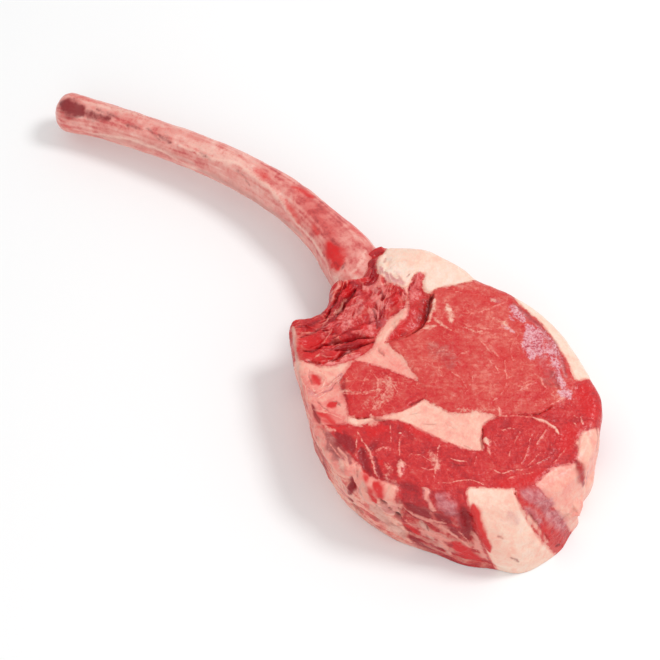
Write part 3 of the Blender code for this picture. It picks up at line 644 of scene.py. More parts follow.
# %% Slits and gaps that little light reaches
DARKS = {
    "fold": (1.6, 1, (433, 294), (429, 301), (428, 310), (426, 318)),
    "fold low": (1.4, 0.6, (407, 333), (401, 336)),
    "slit upper": (1.3, 1, (355, 288), (350, 296), (344, 304), (338, 312)),
    "slit lower": (1.5, 0.9, (341, 289), (335, 299), (330, 307), (325, 319)),
    "slit in between": (0.9, 0.8, (345, 303), (339, 312), (333, 320)),
    "crevice one": (0.9, 1, (320, 346), (333, 342), (346, 340), (358, 338), (373, 337)),
    "crevice two": (0.9, 1, (335, 350), (352, 348), (364, 344), (374, 342)),
    "crevice three": (1.2, 1, (330, 362), (342, 354), (352, 350)),
    "crevice four": (1.0, 0.9, (303, 350), (312, 350), (322, 346)),
    "crevice end": (1.2, 1, (309, 361), (320, 365)),
    "crevice high": (0.9, 0.8, (300, 337), (312, 333), (324, 327)),
    "rib right line": (0.8, 0.9, (372, 308), (376, 318), (377, 328)),
    "rib dimple": (1.2, 0.9, (380, 291), (383, 296), (381, 300)),
    "kernel slit": (0.7, 0.9, (351, 417), (362, 418), (370, 417), (383, 420), (390, 418)),
    "eye left line": (0.7, 0.9, (408, 406), (416, 402), (423, 397)),
    "eye right line": (0.6, 0.8, (518, 414), (532, 415), (543, 412), (553, 406)),
    "round left line": (0.7, 0.9, (483, 428), (482, 439), (482, 450)),
    "round top line": (0.7, 0.6, (483, 424), (491, 418), (499, 419)),
    "dash shade": (0.7, 0.9, (451, 463), (459, 465), (467, 466)),
    "left edge dark": (1.0, 0.8, (314, 412), (323, 432), (334, 447), (346, 460)),
    "pocket line": (0.8, 0.9, (356, 466), (357, 478), (356, 488)),
    "pocket edge": (0.8, 0.9, (346, 496), (351, 500), (356, 503)),
    "hole one": (1.6, 1.8, (380, 500), (385, 505)),
    "hole two": (1.4, 1.8, (395, 514), (400, 518)),
    "hole three": (0.8, 1.1, (377, 494), (380, 499)),
    "under the cream": (1.0, 0.8, (398, 522), (412, 532), (426, 540)),
    "block groove": (0.8, 0.8, (515, 494), (520, 504), (529, 515), (537, 526)),
    "groove top": (1.4, 1.3, (516, 497), (519, 503)),
    "block marks one": (0.9, 0.8, (496, 537), (501, 537), (504, 538)),
    "block marks two": (1.0, 0.9, (510, 557), (515, 559), (519, 562)),
    "corner nick": (1.2, 1.2, (556, 546), (560, 545)),
    "kernel crease one": (0.5, 0.6, (421, 424), (436, 424), (446, 423)),
    "kernel crease two": (0.5, 0.6, (446, 424), (450, 426), (455, 429)),
    "kernel crease three": (0.5, 0.5, (408, 415), (415, 414), (421, 412)),
    "kernel crease four": (0.7, 0.7, (463, 445), (471, 449)),
    "seam crease": (0.7, 0.7, (377, 347), (379, 351), (384, 356)),
    "seam left crease": (0.8, 0.6, (320, 388), (330, 384), (341, 373)),
    "fat cap nick": (0.7, 0.8, (405, 277), (410, 273)),
    "fat cap nick two": (1.2, 0.7, (386, 257), (384, 263)),
    "edge dot": (1.0, 1, (339, 404)),
    "fold lower": (1.2, 0.7, (426, 318), (421, 325), (413, 331)),
    "fold marks": (0.8, 0.9, (424, 522), (427, 526), (429, 531)),
    "left brown": (1.8, 0.9, (352, 503), (358, 509), (363, 513)),
    "hole four": (1.1, 1.4, (388, 508), (392, 511)),
    "small seam": (0.5, 0.6, (342, 391), (352, 392), (362, 391)),
    "wall line one": (0.6, 0.9, (360, 500), (369, 510), (380, 520)),
    "wall line two": (0.6, 0.8, (327, 444), (335, 456), (343, 468)),
    "edge swirl one": (0.5, 0.9, (307, 389), (317, 394), (329, 390), (339, 380), (345, 372)),
    "edge swirl two": (0.45, 0.8, (303, 396), (313, 400), (323, 407), (330, 412)),
    "edge swirl three": (0.45, 0.8, (310, 370), (309, 378), (313, 386)),
    "edge swirl four": (0.6, 0.9, (329, 401), (337, 401), (341, 407)),
}

# %% Deep red meat, and painted shade in folds, hollows and pockets
CRIMSONS_AND_SHADES = {
    "fold depth": (3.2, 0.55, (424, 300), (423, 312), (418, 324)),
    "crimson rim": (1.8, 0.6, (512, 303), (527, 314), (541, 327), (553, 342), (561, 356), (567, 374)),
    "rib edge shade": (1.8, 0.8, (297, 327), (310, 325), (321, 320)),
    "rib right shade": (2.6, 0.75, (383, 305), (381, 318), (378, 327)),
    "rib middle shade": (2.2, 0.7, (357, 300), (361, 306), (358, 314)),
    "collar dark": (2.6, 0.8, (374, 249), (372, 260), (373, 272), (369, 279)),
    "eye corner dark": (2.2, 0.6, (549, 370), (556, 380), (558, 388)),
    "eye purple": (5.0, 0.42, (544, 372), (552, 386)),
    "cap dark left": (5.5, 1.15, (337, 434), (347, 442), (352, 450)),
    "cap dark wedge": (3.0, 1.1, (360, 448), (364, 461), (370, 476)),
    "cap dark middle": (4.0, 0.5, (374, 442), (385, 432)),
    "cap dark right": (4.0, 0.5, (405, 427), (412, 440)),
    "cap hollow": (2.4, 0.7, (371, 446), (379, 440)),
    "cap hollow low": (1.8, 1.1, (375, 457), (378, 469), (381, 480)),
    "left sliver": (1.8, 1, (348, 498), (353, 502)),
    "purple pocket": (2.4, 1.3, (351, 478), (351, 487), (351, 493)),
    "flank muscle": (4.4, 1.2, (408, 504), (417, 510), (428, 516)),
    "flank muscle upper": (4.0, 0.7, (402, 484), (414, 490)),
    "flank muscle right": (2.8, 1.2, (436, 515), (443, 519), (450, 523)),
    "beside the block": (4.6, 1.3, (462, 506), (467, 520), (467, 538)),
    "tip under": (3.6, 0.9, (577, 462), (581, 473), (584, 485)),
    "rib crimson one": (2.4, 0.9, (352, 288), (344, 300), (334, 316), (324, 330)),
    "rib crimson two": (2.0, 0.7, (376, 304), (372, 318), (366, 330)),
    "rib crimson three": (2.0, 0.8, (330, 350), (346, 346), (362, 344)),
    "rib top crimson": (3.0, 0.7, (360, 282), (370, 284), (378, 292)),
    "front shade": (2.0, 0.8, (452, 530), (460, 538)),
    "edge maroon": (2.0, 1, (312, 406), (315, 414), (319, 424)),
    "under the patch": (2.4, 0.9, (369, 449), (376, 444)),
    "low meat": (3.0, 0.9, (409, 537), (420, 544), (430, 549)),
    "upper low meat": (2.4, 0.8, (404, 523), (411, 529)),
    "right rim": (1.4, 0.7, (596, 428), (597, 440), (596, 452)),
    "bright strip lower": (2.6, 0.9, (478, 530), (483, 540), (489, 550)),
    "muted band": (2.4, 0.6, (382, 478), (391, 481), (399, 485)),
    "left edge crimson": (2.0, 0.9, (323, 462), (327, 469), (332, 476)),
    "end of the small muscle": (1.6, 0.7, (344, 378), (343, 388), (347, 398)),
}

# %% Fresh, bright red meat
BRIGHTS = {
    "tongue": (2.6, 0.4, (417, 284), (413, 299)),
    "inner left": (4.4, 0.9, (404, 322), (396, 332), (388, 340)),
    "rib blob": (3.2, 1, (364, 324), (366, 334)),
    "rib blob two": (3.0, 0.8, (397, 296), (398, 309)),
    "rib left": (6.0, 1, (303, 341), (316, 343), (330, 346)),
    "rib left high": (3.0, 0.6, (300, 330), (312, 328)),
    "rib left low": (3.6, 0.8, (306, 352), (314, 357), (322, 361)),
    "rib low": (3.8, 1.2, (340, 354), (330, 360), (320, 366)),
    "rib top": (2.6, 0.7, (352, 280), (360, 281), (370, 279)),
    "slit lining": (2.4, 1, (350, 284), (347, 291), (343, 297)),
    "eye top": (4.0, 0.5, (436, 292), (446, 288), (458, 290)),
    "tip": (8.0, 0.95, (583, 388), (589, 402), (592, 416)),
    "cap right": (7.0, 0.8, (560, 430), (566, 445), (568, 425)),
    "cap low": (5.0, 0.7, (500, 484), (520, 483), (540, 474)),
    "cap left": (6.0, 0.8, (368, 430), (378, 432), (386, 428)),
    "cap left edge": (3.0, 0.6, (330, 426), (342, 432)),
    "cap kernel side": (3.0, 0.7, (404, 424), (416, 432), (430, 440)),
    "small left": (4.0, 0.5, (348, 374), (356, 384), (350, 402)),
    "red spot one": (3.2, 1.0, (313, 376), (319, 383)),
    "red spot two": (2.6, 1.2, (329, 406), (336, 403)),
    "red spot three": (3.4, 0.85, (319, 414), (328, 418), (334, 424)),
    "bright strip": (3.0, 1.4, (472, 502), (475, 514), (479, 527), (485, 541), (490, 551)),
    "lower strip": (3.6, 1, (462, 546), (471, 554), (479, 561)),
    "front red": (4.4, 1.1, (455, 542), (463, 551), (472, 558)),
    "orange patch": (4.0, 0.4, (437, 537), (446, 545)),
    "red streak": (2.2, 1.2, (362, 468), (367, 480), (371, 490), (376, 502)),
    "red streak two": (1.6, 0.7, (377, 490), (384, 486)),
    "flank red": (2.8, 1, (404, 523), (411, 529), (419, 535)),
    "band lower edge": (2.2, 0.9, (541, 524), (546, 532), (552, 539)),
    "band red": (3.0, 0.4, (553, 530), (560, 533), (566, 528)),
    "red ball": (2.2, 1, (380, 460), (382, 464)),
    "above the cream": (3.4, 1.2, (374, 484), (379, 490), (380, 497)),
    "tip under": (4.0, 0.45, (577, 461), (581, 472), (583, 482)),
    "eye glow": (8.0, 0.42, (498, 346), (508, 366), (502, 390)),
    "eye rim glow": (4.0, 0.5, (470, 292), (484, 298), (500, 308)),
    "edge red": (2.4, 0.7, (322, 421), (332, 424), (345, 428)),
    "edge pink": (2.0, 0.5, (303, 398), (308, 408), (312, 418)),
    "edge low red": (1.8, 0.8, (318, 428), (330, 428), (343, 433)),
}

# %% Crumbs and patches of pale fat, and painted highlights where the wet meat sparkles
PALES_AND_HIGHLIGHTS = {
    "left lobe": (2.0, 0.9, (341, 463), (346, 467)),
    "cream patch": (3.2, 1.4, (391, 489), (392, 498), (396, 506)),
    "cream patch right": (2.2, 1, (396, 488), (397, 497), (401, 507)),
    "cream edge": (1.1, 1, (400, 500), (412, 513), (426, 519), (447, 523)),
    "cream streak two": (3.0, 0.9, (432, 523), (441, 527), (450, 532)),
    "cream streak three": (2.8, 0.8, (440, 536), (444, 545), (450, 553)),
    "white line": (0.8, 1.1, (449, 531), (462, 541), (477, 551)),
    "block foot": (2.6, 1.1, (476, 537), (479, 548), (487, 558)),
    "block foot low": (3.2, 1, (492, 562), (505, 566), (520, 568)),
    "right fat": (4.4, 1.4, (585, 438), (584, 448), (586, 460)),
    "upper eye highlight": (2.6, 0.7, (446, 304), (452, 313), (451, 321)),
    "upper eye fleck": (1.2, 0.6, (434, 318), (442, 326), (452, 330)),
    "upper eye fleck two": (1.0, 0.5, (462, 326), (474, 332), (484, 331)),
    "eye low edge": (2.2, 0.4, (458, 409), (476, 411), (494, 409)),
    "fold right edge": (1.7, 0.7, (434, 299), (432, 310), (428, 322)),
    "fold right fleck": (1.4, 0.6, (424, 328), (436, 326)),
    "small pink": (5.4, 0.44, (374, 406), (384, 397), (390, 384), (382, 374)),
    "small pink left": (4.2, 0.34, (368, 402), (362, 410)),
    "inner muscle highlight": (1.4, 0.2, (416, 308), (412, 316)),
    "fat bridge": (2.6, 0.9, (366, 420), (373, 423), (371, 415)),
    "rib web": (3.2, 0.8, (384, 288), (388, 298), (386, 308)),
    "rib crumbs": (6.0, 0.75, (344, 328), (354, 314), (362, 300)),
    "rib crumbs right": (4.0, 0.7, (372, 296), (376, 312), (370, 328)),
    "rib crumbs low": (3.6, 0.6, (350, 336), (364, 334), (376, 332)),
    "rib foot strands": (2.4, 0.8, (330, 283), (340, 278), (350, 272)),
    "tongue pink": (3.6, 0.8, (420, 271), (418, 281), (414, 292), (412, 302)),
    "rib web two": (2.0, 0.6, (403, 292), (404, 300)),
    "rib veil": (3.0, 0.3, (360, 292), (357, 302)),
    "collar pale": (3.2, 0.9, (360, 262), (355, 270), (348, 275)),
    "seam arm": (3.0, 1, (405, 311), (396, 322), (387, 333), (377, 343)),
    "seam left arm": (2.6, 0.8, (308, 360), (324, 367), (342, 362), (358, 356)),
    "lobe rim": (0.9, 1, (312, 371), (322, 373), (326, 380), (323, 387), (316, 390)),
    "edge wedge": (2.6, 0.9, (328, 396), (336, 393), (343, 391)),
    "edge blob": (2.6, 1.3, (339, 405), (343, 414)),
    "edge streak": (1.2, 0.8, (312, 410), (320, 412), (326, 408)),
    "edge streak low": (1.2, 0.7, (321, 425), (328, 429), (336, 431)),
    "cap ridge": (1.6, 0.7, (344, 420), (353, 422), (362, 426)),
    "small border": (1.0, 0.6, (341, 391), (352, 392), (365, 392), (380, 389)),
    "eye shoulder glint": (1.8, 0.6, (492, 298), (496, 301)),
    "white crumbs": (1.8, 0.7, (399, 470), (399, 476)),
    "pink crumbs": (2.0, 0.5, (384, 462), (390, 470), (386, 478)),
    "pink crumbs low": (1.8, 0.6, (384, 478), (396, 481)),
    "film edge": (1.5, 1.1, (421, 487), (428, 491), (427, 499), (433, 507), (437, 510)),
    "band joint fat": (1.5, 1.2, (521, 508), (529, 519), (538, 531), (547, 543)),
    "corner light": (4.0, 0.8, (562, 508), (570, 516)),
    "white block": (2.2, 0.8, (401, 460), (400, 468)),
    "cream ball": (1.1, 1, (378, 505), (381, 507)),
    "flank cream": (3.4, 0.8, (420, 530), (434, 535), (450, 541)),
    "rib crumbs upper": (4.4, 0.6, (364, 288), (376, 290), (388, 296)),
    "rib crumbs left": (4.0, 0.5, (338, 322), (328, 332), (316, 340)),
    "rib crumbs edge": (3.0, 0.55, (322, 362), (336, 357), (352, 352)),
    "fat cap crags": (2.4, 0.8, (381, 262), (388, 272), (398, 278)),
    "thread crumbs": (2.4, 0.6, (431, 451), (436, 460), (438, 468)),
    "inner corner crumbs": (2.2, 0.5, (494, 318), (503, 322), (512, 330)),
    "rib crumbs high": (3.4, 0.7, (338, 322), (344, 315), (350, 308)),
    "left cream light": (1.7, 1.2, (361, 482), (367, 494), (375, 506)),
    "wall cream one": (1.2, 1.0, (338, 448), (345, 458), (349, 468)),
    "wall cream two": (1.3, 1.0, (322, 444), (330, 458), (338, 471)),
    "seam white": (2.0, 1.1, (326, 369), (336, 370), (344, 366)),
    "edge white low": (1.4, 1.0, (302, 405), (311, 402), (322, 400), (332, 397)),
}

# %% Greyish, darker fat of the side, with a painted shadow along its left rim
TANS = {
    # Painted shadow: the grey outer edge of the left side
    "left rim": (2.2, 1.1, (293, 328), (294, 350), (299, 375), (304, 396)),
    "left strip": (2.4, 1.1, (318, 438), (326, 453), (334, 468), (341, 481), (347, 494)),
    "left cream": (4.2, 1.3, (364, 484), (368, 496), (374, 506), (381, 514)),
    "left cream low": (4.8, 1.2, (372, 510), (384, 520), (396, 530), (404, 537)),
    "fold cream": (2.6, 0.9, (421, 522), (428, 531), (433, 540)),
    "knuckle": (2.6, 0.9, (341, 462), (344, 472)),
    "tip rim": (2.0, 1, (590, 474), (588, 486)),
    "left cream lowest": (2.6, 0.9, (354, 506), (366, 519), (384, 532)),
    "flank cream": (2.6, 0.8, (440, 540), (444, 548), (450, 554)),
}

# %% Brownish red skin
MEMBRANES = {
    "left wall": (2.2, 0.7, (305, 400), (309, 414)),
    "pocket skin": (5.4, 1.2, (328, 436), (335, 448), (343, 459)),
    "pocket skin low": (2.6, 1, (350, 478), (350, 488), (350, 494)),
    "under the left cream": (3.0, 0.8, (394, 524), (402, 532)),
    "between the streaks": (2.4, 0.6, (422, 530), (428, 536)),
    "band skin": (4.0, 0.6, (536, 500), (550, 512)),
    "pocket skin brown": (2.8, 1, (345, 455), (351, 464)),
    "dull eye": (9.0, 0.5, (430, 346), (444, 352), (450, 366)),
}

MARK_SETS = {"vein": VEINS, "painted_sheen": PAINTED_SHEENS, "veil_and_sheen": VEILS_AND_SHEENS, "dark": DARKS, "crimson": CRIMSONS_AND_SHADES,
             "bright": BRIGHTS, "pale": PALES_AND_HIGHLIGHTS, "tan": TANS, "membrane": MEMBRANES}

# %% Creases and ridges, with their height in mm
def line_of(marks, name):
    """The pixels of a mark, for relief on the same line."""
    return marks[name][2:]


FORMS = {
    "fold": (1.3, -3.4, (432, 294), (429, 304), (427, 314), (422, 324), (414, 331)),
    "fold low": (1.4, -0.8, (414, 331), (405, 336), (396, 339)),
    "tongue swell": (3.6, 1.6, (418, 278), (414, 290), (412, 300)),
    "inner swell": (5.0, 2.6, (414, 308), (408, 320), (398, 332)),
    "slit upper": (1.3, -3.2, (355, 288), (348, 297), (342, 305), (337, 313)),
    "slit lower": (1.6, -3.0, *line_of(DARKS, "slit lower")),
    "slit strand": (1.0, 1.4, (347, 294), (341, 303), (333, 313), (323, 325)),
    "crevice one": (0.9, -2.0, (324, 345), (342, 341), (358, 338), (373, 337)),
    "crevice two": (0.9, -2.0, *line_of(DARKS, "crevice two")),
    "crevice three": (1.2, -2.2, *line_of(DARKS, "crevice three")),
    "crevice four": (1.0, -1.5, *line_of(DARKS, "crevice four")),
    "crevice end": (1.3, -2.2, (311, 361), (320, 363)),
    "rib strand one": (1.0, 1.2, *line_of(VEINS, "rib strand one")),
    "rib bulge": (4.0, 1.6, (362, 326), (366, 336)),
    "rib bulge two": (4.0, 1.4, (396, 297), (399, 309)),
    "rib flap": (1.4, 1.2, (323, 367), (334, 361), (343, 357), (360, 353)),
    "rib roll": (2.0, 1.2, (318, 352), (340, 346), (366, 340)),
    "seam crease": (0.8, -0.8, *line_of(DARKS, "seam crease")),
    "kernel slit": (0.8, -1.4, *line_of(DARKS, "kernel slit")),
    "eye left line": (0.7, -0.7, *line_of(DARKS, "eye left line")),
    "eye right line": (0.7, -0.8, *line_of(DARKS, "eye right line")),
    "round left line": (0.8, -0.9, *line_of(DARKS, "round left line")),
    "arc end": (1.8, 0.5, *line_of(VEINS, "arc end")),
    "strip end": (2.2, 0.8, (400, 461), (399, 467), (396, 475)),
    "white dot": (1.3, 0.7, (400, 434)),
    "wedge": (3.0, -1.0, (361, 452), (367, 470)),
    "eye top nick": (1.5, -0.8, (425, 296), (434, 291), (450, 288)),
    "hole one": (1.5, -1.8, (380, 500), (386, 506)),
    "hole two": (1.3, -1.6, (395, 514), (401, 519)),
    "purple pocket": (4.0, -2.2, (352, 474), (351, 488)),
    "left strip": (2.4, 1.2, (320, 441), (329, 456), (339, 471), (347, 484)),
    "left cream": (4.0, 1.2, (363, 489), (370, 501)),
    "cream patch": (3.6, 1.3, (392, 489), (396, 501)),
    "cream edge": (1.4, 0.9, (404, 504), (415, 516), (430, 521), (442, 525)),
    "below cream edge": (1.4, -1.1, (404, 508), (414, 520), (430, 526)),
    "beside the block": (3.5, -2.2, (460, 502), (468, 520), (473, 540)),
    "block groove": (1.1, -1.8, (515, 494), (520, 504), (529, 515), (538, 528), (548, 540)),
    "bright strip": (2.2, 0.8, (472, 503), (477, 520), (484, 537), (490, 548)),
    "film fold": (1.6, 0.9, (424, 490), (430, 503), (437, 512)),
    "film fold two": (1.6, 0.8, (447, 497), (458, 512), (466, 528)),
    "streak one": (1.5, 0.9, (390, 518), (410, 530), (432, 541)),
    "streak two": (1.5, -0.8, (392, 523), (412, 536), (436, 549)),
    "streak three": (1.6, 0.8, (424, 527), (440, 531), (458, 543)),
    "red streak": (2.0, 0.8, (360, 472), (367, 484), (374, 497)),
    "left crease": (1.4, -1.0, (326, 446), (336, 460), (344, 474)),
    "tongue end": (3.2, 2.4, (420, 272), (417, 283)),
    "corner fill": (6.0, 3.4, (579, 502), (575, 511)),
    "tip trim": (8.0, -1.8, (597, 452), (595, 466), (592, 480)),
    "left trim": (6.0, -1.6, (290, 332), (293, 350), (297, 366)),
    "corner trim": (3.5, -1.8, (578, 523), (574, 530)),
    "right trim": (4.5, -1.4, (590, 474), (588, 486)),
    "fat cap crag one": (1.6, 0.8, (381, 258), (386, 266)),
    "fat cap crag two": (1.4, -0.8, (386, 254), (388, 262), (385, 270)),
    "fat cap crag three": (1.8, 0.7, (392, 268), (400, 276)),
}
print("marks:", sum(len(marks) for marks in MARK_SETS.values()), "forms:", len(FORMS))

# %% [markdown]
# ## Relief: fibres, folds and torn meat
# A knife leaves the eye of the steak nearly flat, with fine streaks. Beside the bone the meat was
# pulled off the rib, so it is torn into ridges that follow the muscle fibres. Noise that is
# stretched along a direction makes such ridges. The fibres turn round the notch, so four
# directions are mixed by how close each point lies to the place where the photograph shows them.

# %% Height of the cut face and of the side
FIBRE_WAY = math.radians(72)
FIBRE_LENGTH = 16.0
FIBRE_WIDTH = 5.0
TORN_DEPTH = 3.4
# A fade reads: where it starts and how far it takes
TORN_ACROSS = (36.0, -14.0)
TORN_UP = (-40.0, 20.0)
TORN_CAP_LINE = 66.0
TORN_CAP_SPAN = 12.0
TORN_LEAST = 0.01
TORN_LESS_IN_FAT = 0.8
BONE_DIP = 6.0
DIP_ACROSS = (18.0, -30.0)
DIP_UP = (5.0, 30.0)
DOME = 0.9
DOME_AT = np.array([95.0, 35.0])
DOME_REACH = np.array([45.0, 30.0])
STRANDS = {
    (-2, -18): math.radians(50), (22, -12): math.radians(60), (2, 18): math.radians(108),
    (22, 22): math.radians(130),
}
STRAND_LENGTH = 9.0
STRAND_WIDTH = 2.1
STRAND_DEPTH = 1.5
STRAND_MEAN = 0.4
STRAND_SOFTEN = 40.0
STRAND_SHARPNESS = 2.6
STRAND_LAYER = 3.7
BEND = 3.6
BEND_SIZE = 9.0
PATCH_SIZE = 6.5
PATCH_MEAN = 0.7
PATCH_SWING = 1.1
PATCH_LAYER = 5.3
WAVE_HEIGHT = 0.45
WAVE_SIZE = 15.0
WAVE_LAYER = 5.0
KNIFE_WAY = math.radians(38)
KNIFE_LESS_IN_FAT = 0.85
# Depth, length and width of the knife's streaks, and the layer of noise that they come from
KNIFE_MARKS = ((0.16, 12.0, 1.8, 9.0), (0.20, 3.4, 2.2, 13.0))
# Length, height and slope of a band on the side
LONG_BAND = (24.0, 4.2, 0.02)
LONG_SHARE = 0.62
SHORT_BAND = (10.0, 2.2, 0.05)
SHORT_SHARE = 0.28
FOLD_BAND = (17.0, 3.6, 0.05)
FOLD_SHARPNESS = 2.4
FOLD_HEIGHT = 0.9
FOLD_MEAN = 0.5
LUMP_SIZE = 7.0
LUMP_HEIGHT = 0.7
SIDE_ROUGH = per_piece(0.35, rib_meat=0.7, edge_fat=0.8, flank_fat=1.1, side_muscle=0.8, side_fat=0.4,
                       band_muscle=0.6, cap_muscle=0.5, seam_fat=0.5)


def stretched(points, way, length, width, layer=0.0):
    """Noise over the drawing, drawn out along a direction."""
    along = points @ np.array([math.cos(way), math.sin(way)]) / length
    across = points @ np.array([-math.sin(way), math.cos(way)]) / width
    return noise_at(np.column_stack([along, across, np.full(len(points), layer)]))


def torn_share(points):
    """How torn the meat is: all of it beside the bone, none beyond the inner muscle."""
    across, up = points.T
    below_the_cap = smooth_step((TORN_CAP_LINE - up - across / 2.0) / TORN_CAP_SPAN)
    return fade(across, *TORN_ACROSS) * fade(up, *TORN_UP) * below_the_cap


def bent(points):
    """Points of the drawing moved by smooth noise, so that fibres bend and run into each other."""
    places = np.column_stack([points / BEND_SIZE, np.zeros(len(points))]).tolist()
    return points + BEND * np.array([noise.noise_vector(place)[:2] for place in places])


def strand_relief(points):
    """Sharp ridges along the fibres, whose direction turns from one place to the next."""
    total = np.zeros(len(points))
    weights = np.zeros(len(points))
    points = bent(points)
    for layer, (place, way) in enumerate(STRANDS.items()):
        weight = 1.0 / (((points - place) ** 2).sum(1) + STRAND_SOFTEN) ** 2
        strand = stretched(points, way, STRAND_LENGTH, STRAND_WIDTH, STRAND_LAYER * layer)
        ridge = 1.0 - STRAND_SHARPNESS * np.abs(strand)
        patch = PATCH_MEAN + PATCH_SWING * stretched(points, way, PATCH_SIZE, PATCH_SIZE, PATCH_LAYER * layer)
        total += weight * ridge * patch
        weights += weight
    return total / weights


def cut_relief(points, stand, fat, distance):
    """Height that the cut face adds to the smooth block."""
    towards_bone = fade(points[:, 0], *DIP_ACROSS) * fade(points[:, 1], *DIP_UP)
    torn = torn_share(points) * (1.0 - TORN_LESS_IN_FAT * fat)
    dome = DOME * np.exp(-(((points - DOME_AT) / DOME_REACH) ** 2).sum(1))
    result = stand - BONE_DIP * towards_bone + dome
    result += TORN_DEPTH * torn * stretched(points, FIBRE_WAY, FIBRE_LENGTH, FIBRE_WIDTH)
    ridged = np.flatnonzero(torn > TORN_LEAST)
    if len(ridged):
        result[ridged] += STRAND_DEPTH * torn[ridged] * (strand_relief(points[ridged]) - STRAND_MEAN)
    result += WAVE_HEIGHT * stretched(points, 0.0, WAVE_SIZE, WAVE_SIZE, WAVE_LAYER)
    knife = sum(depth * stretched(points, KNIFE_WAY, length, width, layer)
                for depth, length, width, layer in KNIFE_MARKS)
    result += (1.0 - KNIFE_LESS_IN_FAT * fat) * fade(distance, 0.0, SHOULDER) * knife
    return result


def banded(places, length, height, slope):
    """Noise in bands that run round the side and slope down, as thin layers of fat and lean do."""
    squeezed = places * (1 / length, 1 / length, 1 / height)
    return noise_at(squeezed + np.outer(places[:, 0], (0.0, 0.0, slope)))


def layer_of(places):
    """Where each place of the side stands in the colour scale of its layers, from about 0 to 1."""
    return 0.5 + LONG_SHARE * banded(places, *LONG_BAND) + SHORT_SHARE * banded(places, *SHORT_BAND)


def side_relief(places, rough):
    """How far the side stands out, in long low folds that run round the steak."""
    fold = 1.0 - FOLD_SHARPNESS * np.abs(banded(places, *FOLD_BAND))
    return rough * (FOLD_HEIGHT * fold - FOLD_MEAN + LUMP_HEIGHT * noise_at(places / LUMP_SIZE))


# %% [markdown]
# ## One muscle or seam of fat as a closed mesh
# A Delaunay triangulation fills the outline of the piece with even triangles, small enough that
# one is about a pixel of the photograph. Rows of quads make the outer wall. The walls between
# neighbours are never seen, so they have three rows only, and the last quad of each takes up the
# finer rows of the corner as extra corners. That keeps the mesh closed with far fewer faces.

# %% Loops, fills and walls
FINE = 0.5
BASE_FINE = 1.7
SEAM_GAP = 0.06
EDGE_STEPS = (0.12, 0.32)
WALL_ROWS = 54
INNER_ROWS = (0, 27, 54)
NEARLY_STRAIGHT = 0.05
CLEAR_OF_EDGE = 0.6
INSIDE_ONLY = 1
WELD = 1e-6


def loop_of(names):
    """The closed outline that the named lines make, and which of its edges lie outside."""
    points = []
    outside = []
    for name in names:
        line = even_line(DRAWN[name.lstrip("-")], FINE)
        line = line[::-1] if name.startswith("-") else line
        points.extend(line[:-1])
        outside.extend([name in OUTLINE] * (len(line) - 1))
    return np.array(points), np.array(outside)


def inward_ways(loop):
    """The way into a clockwise loop from each of its edges."""
    edges = np.roll(loop, -1, axis=0) - loop
    edges /= np.linalg.norm(edges, axis=1)[:, None]
    return np.column_stack([edges[:, 1], -edges[:, 0]])


def inset(loop, depth):
    """Draw a clockwise loop in, each edge by its own depth."""
    inward = inward_ways(loop)
    before, depth_before = np.roll(inward, 1, axis=0), np.roll(depth, 1)
    result = loop.copy()
    for index in range(len(loop)):
        pair = np.array([before[index], inward[index]])
        if abs(np.linalg.det(pair)) < NEARLY_STRAIGHT:
            result[index] += inward[index] * max(depth[index], depth_before[index])
        else:
            result[index] += np.linalg.solve(pair, [depth_before[index], depth[index]])
    return result


def grid_inside(loop, spacing):
    """Points in offset rows inside a loop, clear of its edge."""
    low, high = loop.min(axis=0), loop.max(axis=0)
    columns, rows = np.meshgrid(np.arange(low[0], high[0], spacing),
                                np.arange(low[1], high[1], spacing * math.sqrt(3) / 2))
    columns[1::2] += spacing / 2
    points = np.column_stack([columns.ravel(), rows.ravel()])
    points = points[inside(points, loop)]
    gaps, _, _ = line_gaps(points, np.vstack([loop, loop[:1]]))
    return points[gaps > CLEAR_OF_EDGE * spacing]


def filled(loop, extra):
    """Triangles that fill a loop and stand on extra points inside it."""
    points = [tuple(point) for point in np.vstack([loop, extra])]
    found = delaunay_2d_cdt(points, [], [list(range(len(loop)))], INSIDE_ONLY, WELD)
    first = [origin[0] for origin in found[3]]
    return [tuple(first[corner] for corner in face) for face in found[2]]


def wall_faces(rings, outer):
    """Faces between the rows of a wall. Inner columns have vertices in a few rows only."""
    faces = []
    count = len(outer)
    for index in range(count):
        after = (index + 1) % count
        both = outer[index] and outer[after]
        rows = range(WALL_ROWS + 1) if both else INNER_ROWS
        for upper, lower in zip(rows, rows[1:]):
            here = [rings[row][index] for row in range(upper, lower + 1) if rings[row][index] >= 0]
            there = [rings[row][after] for row in range(upper, lower + 1) if rings[row][after] >= 0]
            faces.append(here + there[::-1])
    return faces


# %% [markdown]
# ## What each point of the mesh knows
# The materials need to know more than where a point is: whether it is fat or lean, how torn, how
# dark, where painted sheen lies and where it stands on a torn ridge. Those facts go into named
# attributes of the mesh, one number to a vertex. They follow the surface and let one recipe serve
# all the pieces, so that no seam of colour shows where two solids meet.

